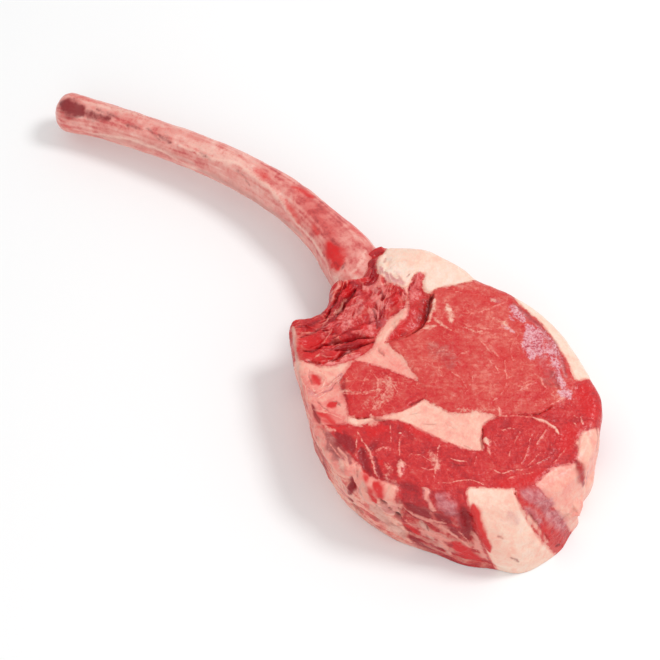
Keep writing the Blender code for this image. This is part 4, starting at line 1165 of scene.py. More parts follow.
# %% Build a piece
MARBLING = per_piece(0.0, eye_muscle=0.7, small_muscle=0.9, cap_muscle=0.7, round_muscle=0.9, rib_meat=0.6,
                     inner_muscle=0.4, side_muscle=0.5, band_muscle=0.4)
TONE = {
    "eye_muscle": 0.95, "inner_muscle": 0.55, "cap_muscle": 0.48, "round_muscle": 0.45, "small_muscle": 0.68,
    "rib_meat": 0.72, "band_muscle": 0.6, "side_muscle": 0.22, "fat_cap": 0.95, "back_fat": 1.0,
    "seam_fat": 0.36, "kernel_fat": 0.55, "side_fat": 0.72, "corner_fat": 0.42, "edge_fat": 0.1,
    "flank_fat": 0.26,
}
SKIN = per_piece(0.0, edge_fat=0.25, seam_fat=0.3, rib_meat=0.35, flank_fat=0.1, fat_cap=0.1)
LAYERED = per_piece(0.0, flank_fat=0.5, side_muscle=0.4, edge_fat=0.45, cap_muscle=0.2, rib_meat=0.3,
                    band_muscle=0.2)
SKIN_FADE = (44.0, -5.0)
LAYERED_FADE = (44.0, -4.0)
TORN_FADE = (30.0, 12.0)
FOOT_FADE = (0.0, 6.0)
WALL_REACH = 0.5
RIDGE_LOW = -0.3
RIDGE_SPAN = 1.3
OWN_FACTS = {"fat": FATTY, "marbling": MARBLING, "tone": TONE, "skin": SKIN, "layered": LAYERED}
WOBBLES = {5.0: 0.8, 1.4: 0.25}
MARK_RISE = dict.fromkeys(MARK_SETS, 0.0) | {"vein": 0.25, "pale": 0.25, "dark": -0.5, "crimson": -0.3}
PIMPLE = 0.10
PIMPLE_SIZE = 1.5
CEILING = 49.4
SHARE_ABOVE_CEILING = 0.4
MEAT_SHARP = math.radians(72)
MEAT_STROKES = {kind: strokes(marks, MEAT_TREE) for kind, marks in MARK_SETS.items()}
FORM_STROKES = strokes(FORMS, MEAT_TREE)


def wobbled(places):
    """Places moved a little by noise, so that a straight mark turns into a natural one."""
    result = places.copy()
    for size, distance in WOBBLES.items():
        result += distance * np.array([noise.noise_vector(place) for place in (places / size).tolist()])
    return result


def block_points(piece, points, heights=None, known_gaps=None):
    """Points of a piece on its cut face, or on its side at given heights, and facts about them."""
    gaps = {name.lstrip("-"): line_gaps(points, COARSE[name.lstrip("-")])[0] for name in PIECES[piece]}
    rim = from_rim(points)
    if known_gaps is not None:
        rim = (np.where(np.isnan(known_gaps), rim[0], known_gaps), rim[1])
    proud = shared(piece, PROUD, PROUD_DEPTH, gaps)
    rough = shared(piece, SIDE_ROUGH, PROUD_DEPTH, gaps)
    facts = {name: shared(piece, values, FAT_REACH, gaps) for name, values in OWN_FACTS.items()}
    if heights is None:
        nominal = rim_height(rim[0])
        stand = shared(piece, STAND, STAND_REACH, gaps)
        heights = nominal + cut_relief(points, stand, facts["fat"], rim[0])
        side = (1.0 - np.clip(rim[0] / SHOULDER, 0.0, 1.0)) ** 2
        up = 1.0 - side
    else:
        nominal = heights
        side = np.exp(-rim[0] / WALL_REACH)
        up = np.zeros(len(points))
    places = carried(points, heights, rim, proud)
    paint = np.column_stack([places[:, :2], nominal])
    side_way = rim[1] * side[:, None]
    places[:, :2] += side_way * (side_relief(paint, rough) * fade(nominal, *FOOT_FADE))[:, None]
    facts["skin"] *= fade(nominal, *SKIN_FADE)
    facts["layered"] *= fade(nominal, *LAYERED_FADE)
    facts["torn"] = torn_share(points) * fade(nominal, *TORN_FADE)
    # How high a point stands on the torn ridges; the material paints their crests lighter and their valleys
    # darker
    facts["ridge"] = np.clip((strand_relief(points) - RIDGE_LOW) / RIDGE_SPAN, 0.0, 1.0)
    return places, paint, np.column_stack([side_way, up]), facts


def face_outwards(mesh):
    """Turn every face of a closed mesh so that its front is outside."""
    work = bmesh.new()
    work.from_mesh(mesh)
    bmesh.ops.recalc_face_normals(work, faces=work.faces)
    work.to_mesh(mesh)
    work.free()


def dress(mesh, values):
    """Give a mesh named values, one number to a vertex each."""
    for name, column in values.items():
        mesh.attributes.new(name, "FLOAT", "POINT").data.foreach_set("value", column)


def finished_object(mesh, places, values, sharp_angle):
    """An object from a mesh, its vertices put at places in mm of the drawing, with its attributes."""
    mesh.vertices.foreach_set("co", ((places - np.append(DRAWING_AT, 0.0)) * MM).ravel())
    face_outwards(mesh)
    mesh.shade_smooth()
    mesh.set_sharp_from_angle(angle=sharp_angle)
    dress(mesh, values)
    return added(mesh.name, mesh)


def block_piece(piece):
    """One muscle or seam of fat: cut face, walls and lower cut, with relief and facts."""
    drawn, outside = loop_of(PIECES[piece])
    loop = inset(drawn, np.where(outside, 0.0, SEAM_GAP / 2))
    outer = outside | np.roll(outside, 1)
    count = len(loop)
    inward = inward_ways(loop)
    fully_out = outside & np.roll(outside, 1) & np.roll(outside, 2) & np.roll(outside, -1)
    grid = grid_inside(loop, FINE)
    extra = np.vstack([grid] + [(loop + inward * step)[fully_out] for step in EDGE_STEPS])
    known_gaps = np.concatenate([np.where(outer, 0.0, np.nan), np.full(len(grid), np.nan),
                                 np.repeat(EDGE_STEPS, fully_out.sum())])
    faces = filled(loop, extra)
    parts = [block_points(piece, np.vstack([loop, extra]), known_gaps=known_gaps)]
    rings = [list(range(count))]
    size = count + len(extra)
    for row in range(1, WALL_ROWS + 1):
        used = np.flatnonzero(outer | (row in INNER_ROWS))
        ring = np.full(count, -1)
        ring[used] = size + np.arange(len(used))
        size += len(used)
        rings.append(ring.tolist())
        if len(used):
            parts.append(block_points(piece, loop[used], parts[0][0][used, 2] * (1.0 - row / WALL_ROWS)))
    faces += wall_faces(rings, outer)
    base = grid_inside(loop, BASE_FINE)
    parts.append(block_points(piece, base, np.zeros(len(base))))
    numbers = rings[-1] + list(range(size, size + len(base)))
    faces += [[numbers[corner] for corner in reversed(face)] for face in filled(loop, base)]

    places, paint, ways = (np.vstack([part[index] for part in parts]) for index in range(3))
    facts = {name: np.concatenate([part[3][name] for part in parts]) for name in parts[0][3]}
    spots = wobbled(paint)
    rise = marked(spots, FORM_STROKES, adding=True) + PIMPLE * noise_at(paint / PIMPLE_SIZE)
    for kind, lines in MEAT_STROKES.items():
        facts[kind] = marked(spots, lines)
        rise += MARK_RISE[kind] * facts[kind]
    facts["membrane"] = np.maximum(facts["membrane"], facts.pop("skin"))
    facts["layer"] = layer_of(spots)
    places += ways * rise[:, None]
    places[:, 2] -= (1.0 - SHARE_ABOVE_CEILING) * np.maximum(places[:, 2] - CEILING, 0.0)
    mesh = bpy.data.meshes.new(piece + "_look")
    mesh.from_pydata(places.tolist(), [], faces)
    return finished_object(mesh, places, facts, MEAT_SHARP)


def triangles(mesh):
    """How many triangles the faces of a mesh come to."""
    return sum(len(face.vertices) - 2 for face in mesh.polygons)


looks = {}
for piece in PIECES:
    looks[piece] = block_piece(piece)
    print(piece, "triangles:", triangles(looks[piece].data))

# %% [markdown]
# ## A small kit for materials
# Node materials are quick to wire by hand but long to read as code. A few methods with plain
# names keep them short: noise of a size in millimetres, a fact that the mesh carries, a span that
# turns a range of values into a mask, a value varied by noises, and a coat of one colour over
# another. Colours are written as they look on a screen and turned into the linear values that
# the renderer counts in.

# %% Helpers for materials
NOISE_LOW = 0.28
NOISE_HIGH = 0.72
THREAD_WAVE = 0.3
THREAD_CORE = 0.2


def ink(red, green, blue):
    """A colour as a screen shows it, from 0 to 255, in linear light."""
    shares = [value / 255 for value in (red, green, blue)]
    return [share / 12.92 if share <= 0.04045 else ((share + 0.055) / 1.055) ** 2.4
            for share in shares] + [1.0]


class Wiring:
    """A node tree under construction."""

    def __init__(self, tree):
        self.tree = tree

    def node(self, kind, inputs=None, **settings):
        result = self.tree.nodes.new(kind)
        for name, value in settings.items():
            setattr(result, name, value)
        for socket, value in (inputs or {}).items():
            self.give(result.inputs[socket], value)
        return result

    def give(self, socket, value):
        if isinstance(value, bpy.types.NodeSocket):
            self.tree.links.new(value, socket)
        else:
            socket.default_value = value

    def math(self, kind, one, two=0.0):
        return self.node("ShaderNodeMath", {0: one, 1: two}, operation=kind).outputs[0]

    def sum(self, *values):
        total = values[0]
        for value in values[1:]:
            total = self.math("ADD", total, value)
        return total

    def times(self, *values):
        total = values[0]
        for value in values[1:]:
            total = self.math("MULTIPLY", total, value)
        return total


class Finish(Wiring):
    """A material under construction."""

    def __init__(self, name):
        self.material = bpy.data.materials.new(name)
        self.material.use_nodes = True
        super().__init__(self.material.node_tree)
        self.shader = self.tree.nodes["Principled BSDF"]
        self.place = self.node("ShaderNodeTexCoord").outputs["Object"]

    def fact(self, name):
        return self.node("ShaderNodeAttribute", attribute_name=name).outputs["Fac"]

    def noise(self, size, detail=2.0, roughness=0.5, distortion=0.0, vector=None):
        inputs = {"Vector": vector or self.place, "Scale": 1.0 / (size * MM), "Detail": detail,
                  "Roughness": roughness, "Distortion": distortion}
        return self.node("ShaderNodeTexNoise", inputs).outputs["Fac"]

    def drawn_out(self, turn, along, across):
        """Places turned by an angle and squeezed, so that noise of size 1 mm runs along it."""
        scale = (1.0 / along, 1.0 / across, 1.0 / across)
        turned = self.node("ShaderNodeVectorRotate", {"Vector": self.place, "Angle": -turn},
                           rotation_type="Z_AXIS").outputs[0]
        return self.node("ShaderNodeVectorMath", {0: turned, 1: scale}, operation="MULTIPLY").outputs[0]

    def span(self, value, low, high, bottom=0.0, top=1.0):
        inputs = {"Value": value, "From Min": low, "From Max": high, "To Min": bottom, "To Max": top}
        return self.node("ShaderNodeMapRange", inputs, interpolation_type="SMOOTHSTEP").outputs[0]

    def swing(self, noise, size):
        """Noise turned into a change of plus or minus a size."""
        return self.span(noise, NOISE_LOW, NOISE_HIGH, -size, size)

    def varied(self, value, *swings):
        """A value changed by noises: pairs of a noise and the size of its change."""
        return self.sum(value, *(self.swing(noise, size) for noise, size in swings))

    def mix(self, share, one, two):
        return self.node("ShaderNodeMix", {0: share, 6: one, 7: two}, data_type="RGBA").outputs[2]

    def coat(self, under, value, low, high, most, tint):
        """A tint over a colour: none at the low value, and the most of it at the high one."""
        return self.mix(self.span(value, low, high, 0.0, most), under, tint)

    def ramp(self, value, stops):
        """A colour scale. Each stop is a value from 0 to 1, then red, green and blue on a screen."""
        result = self.node("ShaderNodeValToRGB", {"Fac": value})
        scale = result.color_ramp.elements
        first, *between, last = [(place, ink(*screen)) for place, *screen in stops]
        scale[0].position, scale[0].color = first
        scale[1].position, scale[1].color = last
        for place, colour in between:
            scale.new(place).color = colour
        return result.outputs["Color"]

    def thin_lines(self, size, width):
        """Wavy threads where noise crosses its middle value."""
        wave = self.noise(size, 2.0, 0.5, THREAD_WAVE)
        apart = self.math("ABSOLUTE", self.math("SUBTRACT", wave, 0.5))
        return self.span(apart, width, width * THREAD_CORE)

    def set(self, **values):
        for name, value in values.items():
            label = name.replace("_", " ").title().replace("Ior", "IOR")
            self.give(self.shader.inputs[label], value)

    def bump(self, height, distance, under=None):
        inputs = {"Height": height, "Distance": distance * MM, "Strength": 1.0}
        if under is not None:
            inputs["Normal"] = under
        return self.node("ShaderNodeBump", inputs).outputs[0]

# %% [markdown]
# ## Flesh: lean, fat and painted sheen in one material
# Raw beef is a wet, slightly see-through solid. Its red changes from pinkish where the cut is
# fresh to deep red, and slits, creases and hollows are painted almost brown as painted shade. Its
# fat runs from pink to butter. A lilac, speckled patch is painted sheen where the wet surface
# reflects light, and the crests of torn fibres are painted lighter and their valleys darker. One
# recipe makes all of it from the attributes, so the ragged edge between fat and lean runs
# straight over the seam between two solids. Four materials use it, because the record names four
# finishes of flesh.

# %% The flesh recipe
LEAN_SCALE = ((0.0, 118, 6, 18), (0.3, 172, 16, 26), (0.55, 204, 34, 36), (0.75, 210, 74, 66),
              (1.0, 232, 132, 116))
FAT_SCALE = ((0.0, 214, 88, 84), (0.3, 236, 142, 130), (0.6, 242, 182, 162), (0.8, 244, 204, 184),
             (1.0, 244, 218, 202))
LAYER_SCALE = ((0.0, 112, 20, 34), (0.24, 168, 34, 42), (0.40, 204, 66, 62), (0.54, 226, 140, 124),
               (0.68, 240, 196, 174), (0.82, 226, 156, 146), (1.0, 184, 96, 96))
SKIN_SCALE = ((0.0, 132, 40, 44), (0.5, 170, 80, 78), (1.0, 206, 136, 128))
TAN_SCALE = ((0.0, 182, 108, 98), (0.5, 214, 154, 140), (1.0, 236, 190, 174))
# Colours of the painted sheen, from its dark specks to its bright glints
PAINTED_SHEEN_SCALE = ((0.1, 142, 24, 42), (0.3, 190, 78, 92), (0.5, 212, 130, 140), (0.95, 234, 184, 190))
VEIL_AND_SHEEN_SCALE = ((0.0, 168, 70, 78), (0.5, 200, 112, 116), (1.0, 226, 162, 161))
PINK_SCALE = ((0.2, 216, 82, 82), (0.6, 232, 132, 126), (0.9, 242, 184, 172))
MILK_SCALE = ((0.2, 234, 150, 136), (0.6, 242, 190, 168), (0.9, 246, 220, 202))
VIVID = ink(210, 10, 16)
CRIMSON_AND_SHADE = ink(150, 2, 18)
LEAN_DEEP = ink(128, 6, 16)
FAT_DEEP = ink(170, 84, 76)
HOLE = ink(84, 12, 12)
THREAD = ink(234, 138, 124)
MILK = ink(242, 194, 174)


def marbling(paint, gain):
    """Threads of fat inside the muscle, thick and thin, in clusters."""
    wide = paint.times(paint.thin_lines(7.0, 0.024), paint.span(paint.noise(11.0), 0.50, 0.62))
    narrow = paint.times(paint.thin_lines(3.6, 0.030), paint.span(paint.noise(7.0), 0.52, 0.64))
    return paint.times(paint.sum(wide, paint.times(narrow, 0.7)), paint.fact("marbling"), gain)


def flesh(name, streak_turn, gloss, marbling_gain, grain_depth, ragged, pale_scale):
    """The recipe, for one finish: lean and fat first, then skins, stains, painted shade, threads and painted
    sheen on top.
    """
    paint = Finish(name)
    mottle = paint.noise(4.6, 3.0, 0.6, 0.5)
    grain = paint.noise(1.0, 3.0, 0.6, 0.6, paint.drawn_out(streak_turn, 6.0, 0.9))
    fleck = paint.noise(1.3, 2.0, 0.6)
    crumb = paint.noise(1.15, 1.5, 0.5)
    streak = paint.noise(1.0, 2.0, 0.5, 0.8, paint.drawn_out(streak_turn, 8.0, 2.6))
    tone = paint.fact("tone")
    fat = paint.fact("fat")
    torn = paint.fact("torn")
    ridge = paint.fact("ridge")
    dark = paint.fact("dark")
    vein = paint.fact("vein")

    # Painted light and shade: on torn meat the crests of the fibres turn lighter and the valleys darker
    lean_shade = paint.sum(
        paint.varied(paint.span(tone, 0.0, 1.0, 0.34, 0.72), (paint.noise(20.0), 0.08), (mottle, 0.12),
                     (streak, 0.05), (grain, 0.035), (fleck, 0.05)),
        paint.times(marbling(paint, marbling_gain), 0.36),
        paint.times(torn, paint.span(ridge, 0.2, 0.95, -0.22, 0.30)))
    fat_shade = paint.sum(
        paint.varied(paint.span(tone, 0.0, 1.0, 0.22, 0.86), (paint.noise(18.0), 0.08), (mottle, 0.10),
                     (fleck, 0.04)),
        paint.span(fat, 0.95, 0.55, 0.0, -0.25))
    is_fat = paint.span(paint.varied(fat, (paint.noise(4.2), 0.13), (fleck, 0.04)), 0.34, 0.64)
    colour = paint.mix(is_fat, paint.ramp(lean_shade, LEAN_SCALE), paint.ramp(fat_shade, FAT_SCALE))
    layer = paint.sum(paint.varied(paint.fact("layer"), (mottle, 0.10), (fleck, 0.05)),
                      paint.span(fat, 0.0, 1.0, -0.14, 0.06))
    colour = paint.coat(colour, paint.fact("layered"), 0.05, 0.85, 1.0, paint.ramp(layer, LAYER_SCALE))

    # The veil is thin skin and also painted sheen; the tan also paints a shadow along the left rim
    skins_and_painted_light = (
        ("membrane", 0.16, 0.15, 0.95, SKIN_SCALE, ((streak, 0.22), (mottle, 0.16), (fleck, 0.06))),
        ("tan", 0.14, 0.10, 0.95, TAN_SCALE, ((paint.noise(7.0, 2.0), 0.26), (fleck, 0.10))),
        ("veil_and_sheen", 0.14, 0.05, 1.0, VEIL_AND_SHEEN_SCALE, ((streak, 0.16), (mottle, 0.22), (fleck, 0.08))),
    )
    for kind, edge, low, high, scale, swings in skins_and_painted_light:
        value = paint.varied(paint.fact(kind), (mottle, edge))
        tint = paint.ramp(paint.varied(0.5, *swings), scale)
        colour = paint.coat(colour, value, low, high, 0.92, tint)

    broken = paint.sum(paint.swing(fleck, 0.14 * ragged), paint.swing(mottle, 0.18 * ragged))
    # Painted highlight: crests of torn fibres take more of the pale coat below, valleys less
    painted_crest_light = paint.times(torn, paint.span(ridge, 0.1, 0.9, -0.35, 0.35))
    # Crimson is deep red meat and also painted shade in folds and hollows; pale is pale fat and also painted
    # highlights where the wet meat sparkles
    stains_and_painted_light = (
        ("crimson", (broken,), 0.06, 1.0, 0.97, CRIMSON_AND_SHADE),
        ("bright", (broken,), 0.06, 1.0, 0.96, VIVID),
        ("pale", (broken, painted_crest_light), 0.16, 0.95, 0.92, paint.ramp(fat_shade, pale_scale)),
    )
    for kind, edges, low, high, most, tint in stains_and_painted_light:
        colour = paint.coat(colour, paint.sum(paint.fact(kind), *edges), low, high, most, tint)

    # Mostly painted shade in slits, creases and holes, darkest in the deepest holes, with some dark lines and
    # brown marks of the meat itself
    deepest = paint.mix(paint.span(dark, 0.9, 1.5), paint.mix(is_fat, LEAN_DEEP, FAT_DEEP), HOLE)
    colour = paint.coat(colour, paint.varied(dark, (fleck, 0.10)), 0.10, 1.1, 0.85, deepest)
    thread = paint.mix(paint.span(vein, 0.70, 1.15), THREAD, MILK)
    colour = paint.coat(colour, paint.varied(vein, (crumb, 0.22), (mottle, 0.20)), 0.24, 1.0, 0.88, thread)
    # Painted sheen: a lilac, speckled patch stands in for light that the wet surface reflects
    painted_sheen = paint.varied(paint.fact("painted_sheen"), (crumb, 0.14), (mottle, 0.14))
    painted_glint = paint.ramp(paint.varied(0.58, (crumb, 0.25), (mottle, 0.18)), PAINTED_SHEEN_SCALE)
    colour = paint.coat(colour, painted_sheen, 0.14, 0.74, 0.88, painted_glint)

    coarse = paint.bump(grain, grain_depth, paint.bump(mottle, grain_depth * 2.0))
    fine = paint.bump(fleck, 0.28, coarse)
    wet = paint.span(paint.noise(3.5, 2.0), 0.35, 0.65, gloss, gloss + 0.16)
    paint.set(base_color=colour, roughness=wet, normal=fine, specular_ior_level=0.35, coat_weight=0.22,
              coat_roughness=0.2, subsurface_weight=0.15, subsurface_scale=0.0025,
              subsurface_radius=(1.0, 0.35, 0.25))
    return paint.material


# Way of the streaks, gloss, marbling, depth of the grain, raggedness of stains and pale colours
FLESH_VALUES = {
    "lean_meat": (math.radians(40), 0.30, 0.65, 0.30, 1.0, MILK_SCALE),
    "torn_meat": (math.radians(65), 0.30, 0.4, 0.35, 1.0, PINK_SCALE),
    "side_meat": (math.radians(16), 0.32, 0.5, 0.35, 0.6, MILK_SCALE),
    "fat": (math.radians(30), 0.38, 0.4, 0.06, 0.35, MILK_SCALE),
}
FLESH = {name: flesh(name, *values) for name, values in FLESH_VALUES.items()}
FINISH_OF = per_piece("lean_meat", **dict.fromkeys(FAT, "fat"), rib_meat="torn_meat",
                      inner_muscle="torn_meat", band_muscle="side_meat", side_muscle="side_meat")
for piece, look in looks.items():
    look.data.materials.append(FLESH[FINISH_OF[piece]])
    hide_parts(piece)
    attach(look, "root")
print("flesh nodes:", len(FLESH["fat"].node_tree.nodes))

# %% [markdown]
# ## The rib bone
# The rib is a long, flattened rod that curves and swells where it meets the meat. A crest runs
# along its near side, and the bone skin that was scraped off leaves low streaks, pits and stains
# of blood. Its marks are placed first, in the same way as those on the meat.

# %% Marks on the bone
BONE_REDS = {
    "blood pool": (5.4, 1.3, (329, 245), (333, 253), (337, 262), (338, 268)),
    "blood pool right": (5.0, 0.8, (338, 250), (343, 260)),
    "pool streak": (2.6, 0.8, (312, 226), (318, 234)),
    "red patch one": (3.0, 0.8, (293, 187), (303, 192), (314, 198)),
    "red patch two": (3.0, 0.6, (286, 200), (292, 210), (300, 222)),
    "red patch three": (3.2, 0.7, (254, 168), (262, 174), (270, 180)),
    "upper edge": (2.2, 0.7, (262, 158), (293, 178), (330, 207), (352, 225)),
    "upper edge low": (3.0, 0.7, (345, 220), (358, 232), (366, 240)),
    "foot": (2.0, 0.6, (345, 271), (350, 278), (358, 272)),
    "foot right": (2.6, 0.7, (371, 248), (372, 262), (368, 275)),
    "end rim": (2.0, 0.6, (70, 96), (86, 100), (104, 104)),
    "under the end": (2.0, 0.5, (64, 124), (74, 130), (90, 134)),
    "shaft flush": (6.0, 0.34, (306, 200), (322, 217), (338, 238)),
}
BONE_DARKS_AND_SHADES = {
    "end blotch": (5.5, 1.4, (62, 104), (72, 108), (83, 113)),
    "end blotch tail": (3.0, 0.9, (82, 112), (96, 116), (110, 119)),
    "mottle one": (1.8, 0.6, (97, 110), (108, 114), (119, 119)),
    "mottle two": (1.6, 0.6, (124, 124), (133, 127), (142, 130)),
    "mottle three": (2.2, 0.7, (158, 135), (165, 139), (171, 142)),
    "mottle four": (1.3, 0.6, (146, 128), (154, 134), (160, 141)),
    "mottle five": (1.2, 0.5, (200, 152), (212, 160)),
    "fleck one": (1.2, 0.6, (236, 170), (244, 176), (250, 186)),
    # Painted shade where the bone meets the meat
    "pool shade": (2.2, 0.5, (334, 262), (339, 268)),
    "foot shade": (1.2, 0.7, (346, 262), (342, 270)),
}
BONE_PALES = {
    "painted_crest_light": (1.7, 0.9, (179, 145), (212, 159), (237, 163), (256, 177), (272, 190), (288, 210), (302, 228)),
    "crest wide": (4.0, 0.6, (186, 142), (210, 150), (232, 157), (248, 166)),
    "lower line": (1.4, 0.8, (79, 132), (123, 147), (160, 158), (192, 168)),
    "lower line two": (1.5, 0.8, (297, 223), (313, 241), (327, 262), (331, 276)),
    "upper line": (2.2, 0.7, (78, 99), (110, 108), (140, 115), (178, 126), (215, 141)),
    "foot": (1.5, 0.7, (366, 250), (362, 260), (356, 269), (349, 276)),
    "foot low": (1.6, 0.8, (334, 276), (338, 281)),
}
# Painted shade on the underside of the bone, where the light doesn't reach
BONE_PAINTED_SHADES = {
    "under side": (3.6, 0.8, (200, 170), (240, 190), (270, 211), (296, 238)),
    "under side far": (2.8, 0.5, (90, 134), (140, 155), (190, 170)),
    "under side foot": (2.4, 0.25, (305, 250), (318, 270), (324, 290)),
}
BONE_ROSES = {
    "foot glow": (16.0, 1.0, (304, 200), (332, 232), (355, 262)),
    "upper side": (6.0, 0.8, (262, 165), (300, 190), (335, 215)),
    "mottle band": (5.0, 0.5, (84, 108), (120, 122), (140, 130)),
    "end": (8.0, 0.9, (60, 108), (72, 114)),
    "under the crest": (4.0, 0.5, (176, 152), (206, 164)),
}
BONE_FORMS = {
    "painted_crest_light": (2.4, 0.9, *line_of(BONE_PALES, "painted_crest_light")),
    "groove": (2.6, -0.6, (200, 163), (235, 181), (262, 199)),
    "groove upper": (2.2, -0.5, (120, 119), (160, 133), (200, 148)),
    "scrape": (1.6, -0.4, (255, 172), (275, 186), (290, 203)),
    "foot lump": (4.0, 0.6, (352, 260), (358, 252)),
}
BONE_SETS = {"bright": BONE_REDS, "dark": BONE_DARKS_AND_SHADES, "pale": BONE_PALES, "painted_side_shade": BONE_PAINTED_SHADES,
             "rosy": BONE_ROSES}
BONE_STROKES = {kind: strokes(marks, BONE_TREE) for kind, marks in BONE_SETS.items()}
BONE_FORM_STROKES = strokes(BONE_FORMS, BONE_TREE)

# %% [markdown]
# ## Sweeping the bone
# A bevelled curve would be quicker, but its section is round and only changes size evenly. This
# bone is flat in places and deep in others, and its corners are soft. So a tree of geometry nodes
# runs a ring of points along the middle line and puts each one where the squared-off circle of
# that station says. The line carries the half width and half height of every station.

# %% Sweep the bone
BONE_LINE = (
    (-235, -0.5, 19), (-215, 9.5, 19.5), (-176, 25.5, 20.5), (-135, 39, 22), (-90, 47, 23.5),
    (-53, 46.5, 24), (-26, 42, 24), (0, 33, 24), (22, 18, 24),
)
BONE_TIP = 10.0
BONE_END = 6.0
BONE_HALF_WIDTH = (11.5, 10.3, 10, 10.5, 11.5, 13, 17, 17, 10)
BONE_HALF_HEIGHT = (12.5, 12, 12, 12.5, 13.5, 14.5, 15, 14, 12)
BONE_SQUARENESS = 2.5
BONE_SIDES = 120
BONE_STEP = 0.75
TIP_TURNS = np.radians(np.arange(2, 90, 4))
END_TURNS = np.radians(np.arange(8, 90, 8))


def bone_stations():
    """Middle, way and size of the bone's section at each step, with both ends rounded off."""
    controls = np.column_stack([BONE_LINE, BONE_HALF_WIDTH, BONE_HALF_HEIGHT])
    line = even_line(spline(controls), BONE_STEP)
    ways = np.gradient(line[:, :3], axis=0)
    ways /= np.linalg.norm(ways, axis=1)[:, None]
    for turn in TIP_TURNS:
        yield line[0, :3] - ways[0] * BONE_TIP * math.cos(turn), ways[0], line[0, 3:] * math.sin(turn)
    for row, way in zip(line, ways):
        yield row[:3], way, row[3:]
    for turn in END_TURNS:
        yield line[-1, :3] + ways[-1] * BONE_END * math.sin(turn), ways[-1], line[-1, 3:] * math.cos(turn)


def bone_spine():
    """The middle line as a chain of edges, in mm, that carries what the sweep needs to know."""
    middles, ways, sizes = (np.array(column) for column in zip(*bone_stations()))
    steps = np.linalg.norm(np.diff(middles, axis=0), axis=1)
    mesh = bpy.data.meshes.new("rib_bone_look")
    mesh.from_pydata(middles.tolist(), [(index, index + 1) for index in range(len(steps))], [])
    dress(mesh, {"half_width": sizes[:, 0], "half_height": sizes[:, 1],
                 "along": np.concatenate([[0.0], np.cumsum(steps)])})
    for name, vectors in (("middle", middles), ("way", ways)):
        mesh.attributes.new(name, "FLOAT_VECTOR", "POINT").data.foreach_set("vector", vectors.ravel())
    return added("rib_bone_look", mesh)


class Sweep(Wiring):
    """Geometry nodes that sweep a soft-cornered section along a line."""

    def vector(self, kind, *inputs):
        return self.node("ShaderNodeVectorMath", dict(enumerate(inputs)), operation=kind).outputs[0]

    def scaled(self, way, *lengths):
        scale = {0: way, "Scale": self.times(*lengths)}
        return self.node("ShaderNodeVectorMath", scale, operation="SCALE").outputs[0]

    def fact(self, name, kind="FLOAT"):
        named = self.node("GeometryNodeInputNamedAttribute", {"Name": name}, data_type=kind)
        return named.outputs["Attribute"]

    def squared_off(self, wave, squareness):
        """A sine or cosine bent so that the section's corners fill out."""
        size = self.math("POWER", self.math("ABSOLUTE", wave), self.math("DIVIDE", 2.0, squareness))
        return self.times(self.math("SIGN", wave), size)


def sweep_tree():
    """Sweep a ring along the spine, and put each of its points where the section has it."""
    tree = bpy.data.node_groups.new("bone sweep", "GeometryNodeTree")
    sockets = {"Spine": "Geometry", "Sides": "Int", "Squareness": "Float", "Finish": "Material"}
    for name, kind in sockets.items():
        tree.interface.new_socket(name, in_out="INPUT", socket_type="NodeSocket" + kind)
    tree.interface.new_socket("Bone", in_out="OUTPUT", socket_type="NodeSocketGeometry")
    sweep = Sweep(tree)
    given = sweep.node("NodeGroupInput").outputs
    line = sweep.node("GeometryNodeMeshToCurve", {"Mesh": given["Spine"]}).outputs[0]
    ring = sweep.node("GeometryNodeCurvePrimitiveCircle", {"Resolution": given["Sides"]}).outputs[0]
    turn = sweep.times(sweep.node("GeometryNodeSplineParameter").outputs["Factor"], math.tau)
    ring = sweep.node("GeometryNodeStoreNamedAttribute", {"Geometry": ring, "Name": "turn", "Value": turn},
                      data_type="FLOAT", domain="POINT").outputs[0]
    tube = {"Curve": line, "Profile Curve": ring, "Fill Caps": True}
    tube = sweep.node("GeometryNodeCurveToMesh", tube).outputs[0]
    way = sweep.fact("way", "FLOAT_VECTOR")
    turn = sweep.fact("turn")
    sideways = sweep.vector("NORMALIZE", sweep.vector("CROSS_PRODUCT", way, (0.0, 0.0, 1.0)))
    upward = sweep.vector("CROSS_PRODUCT", sideways, way)
    across = sweep.squared_off(sweep.math("COSINE", turn), given["Squareness"])
    up = sweep.squared_off(sweep.math("SINE", turn), given["Squareness"])
    place = sweep.vector("ADD", sweep.fact("middle", "FLOAT_VECTOR"),
                         sweep.scaled(sideways, across, sweep.fact("half_width")))
    place = sweep.vector("ADD", place, sweep.scaled(upward, up, sweep.fact("half_height")))
    shaped = sweep.node("GeometryNodeSetPosition", {"Geometry": tube, "Position": place}).outputs[0]
    real = sweep.node("GeometryNodeRealizeInstances", {"Geometry": shaped}).outputs[0]
    painted = {"Geometry": real, "Material": given["Finish"]}
    sweep.node("NodeGroupOutput", {"Bone": sweep.node("GeometryNodeSetMaterial", painted).outputs[0]})
    return tree


def grown(start, tree, values):
    """Run a tree on an object and keep what it makes as a plain mesh."""
    modifier = start.modifiers.new("grow", "NODES")
    modifier.node_group = tree
    for socket in tree.interface.items_tree:
        if socket.name in values:
            modifier[socket.identifier] = values[socket.name]
    depsgraph = bpy.context.evaluated_depsgraph_get()
    result = bpy.data.meshes.new_from_object(start.evaluated_get(depsgraph), preserve_all_data_layers=True,
                                             depsgraph=depsgraph)
    bpy.data.objects.remove(start)
    return result

# %% [markdown]
# ## The finish of the bone
# Scraped bone isn't white. It keeps a thin skin that is pink where blood shows through and cream
# along the ridges, and its shaded underside is painted greyish as painted shade. Streaks run along
# the bone, so they come from an attribute that was measured along it, not from plain noise in
# space.

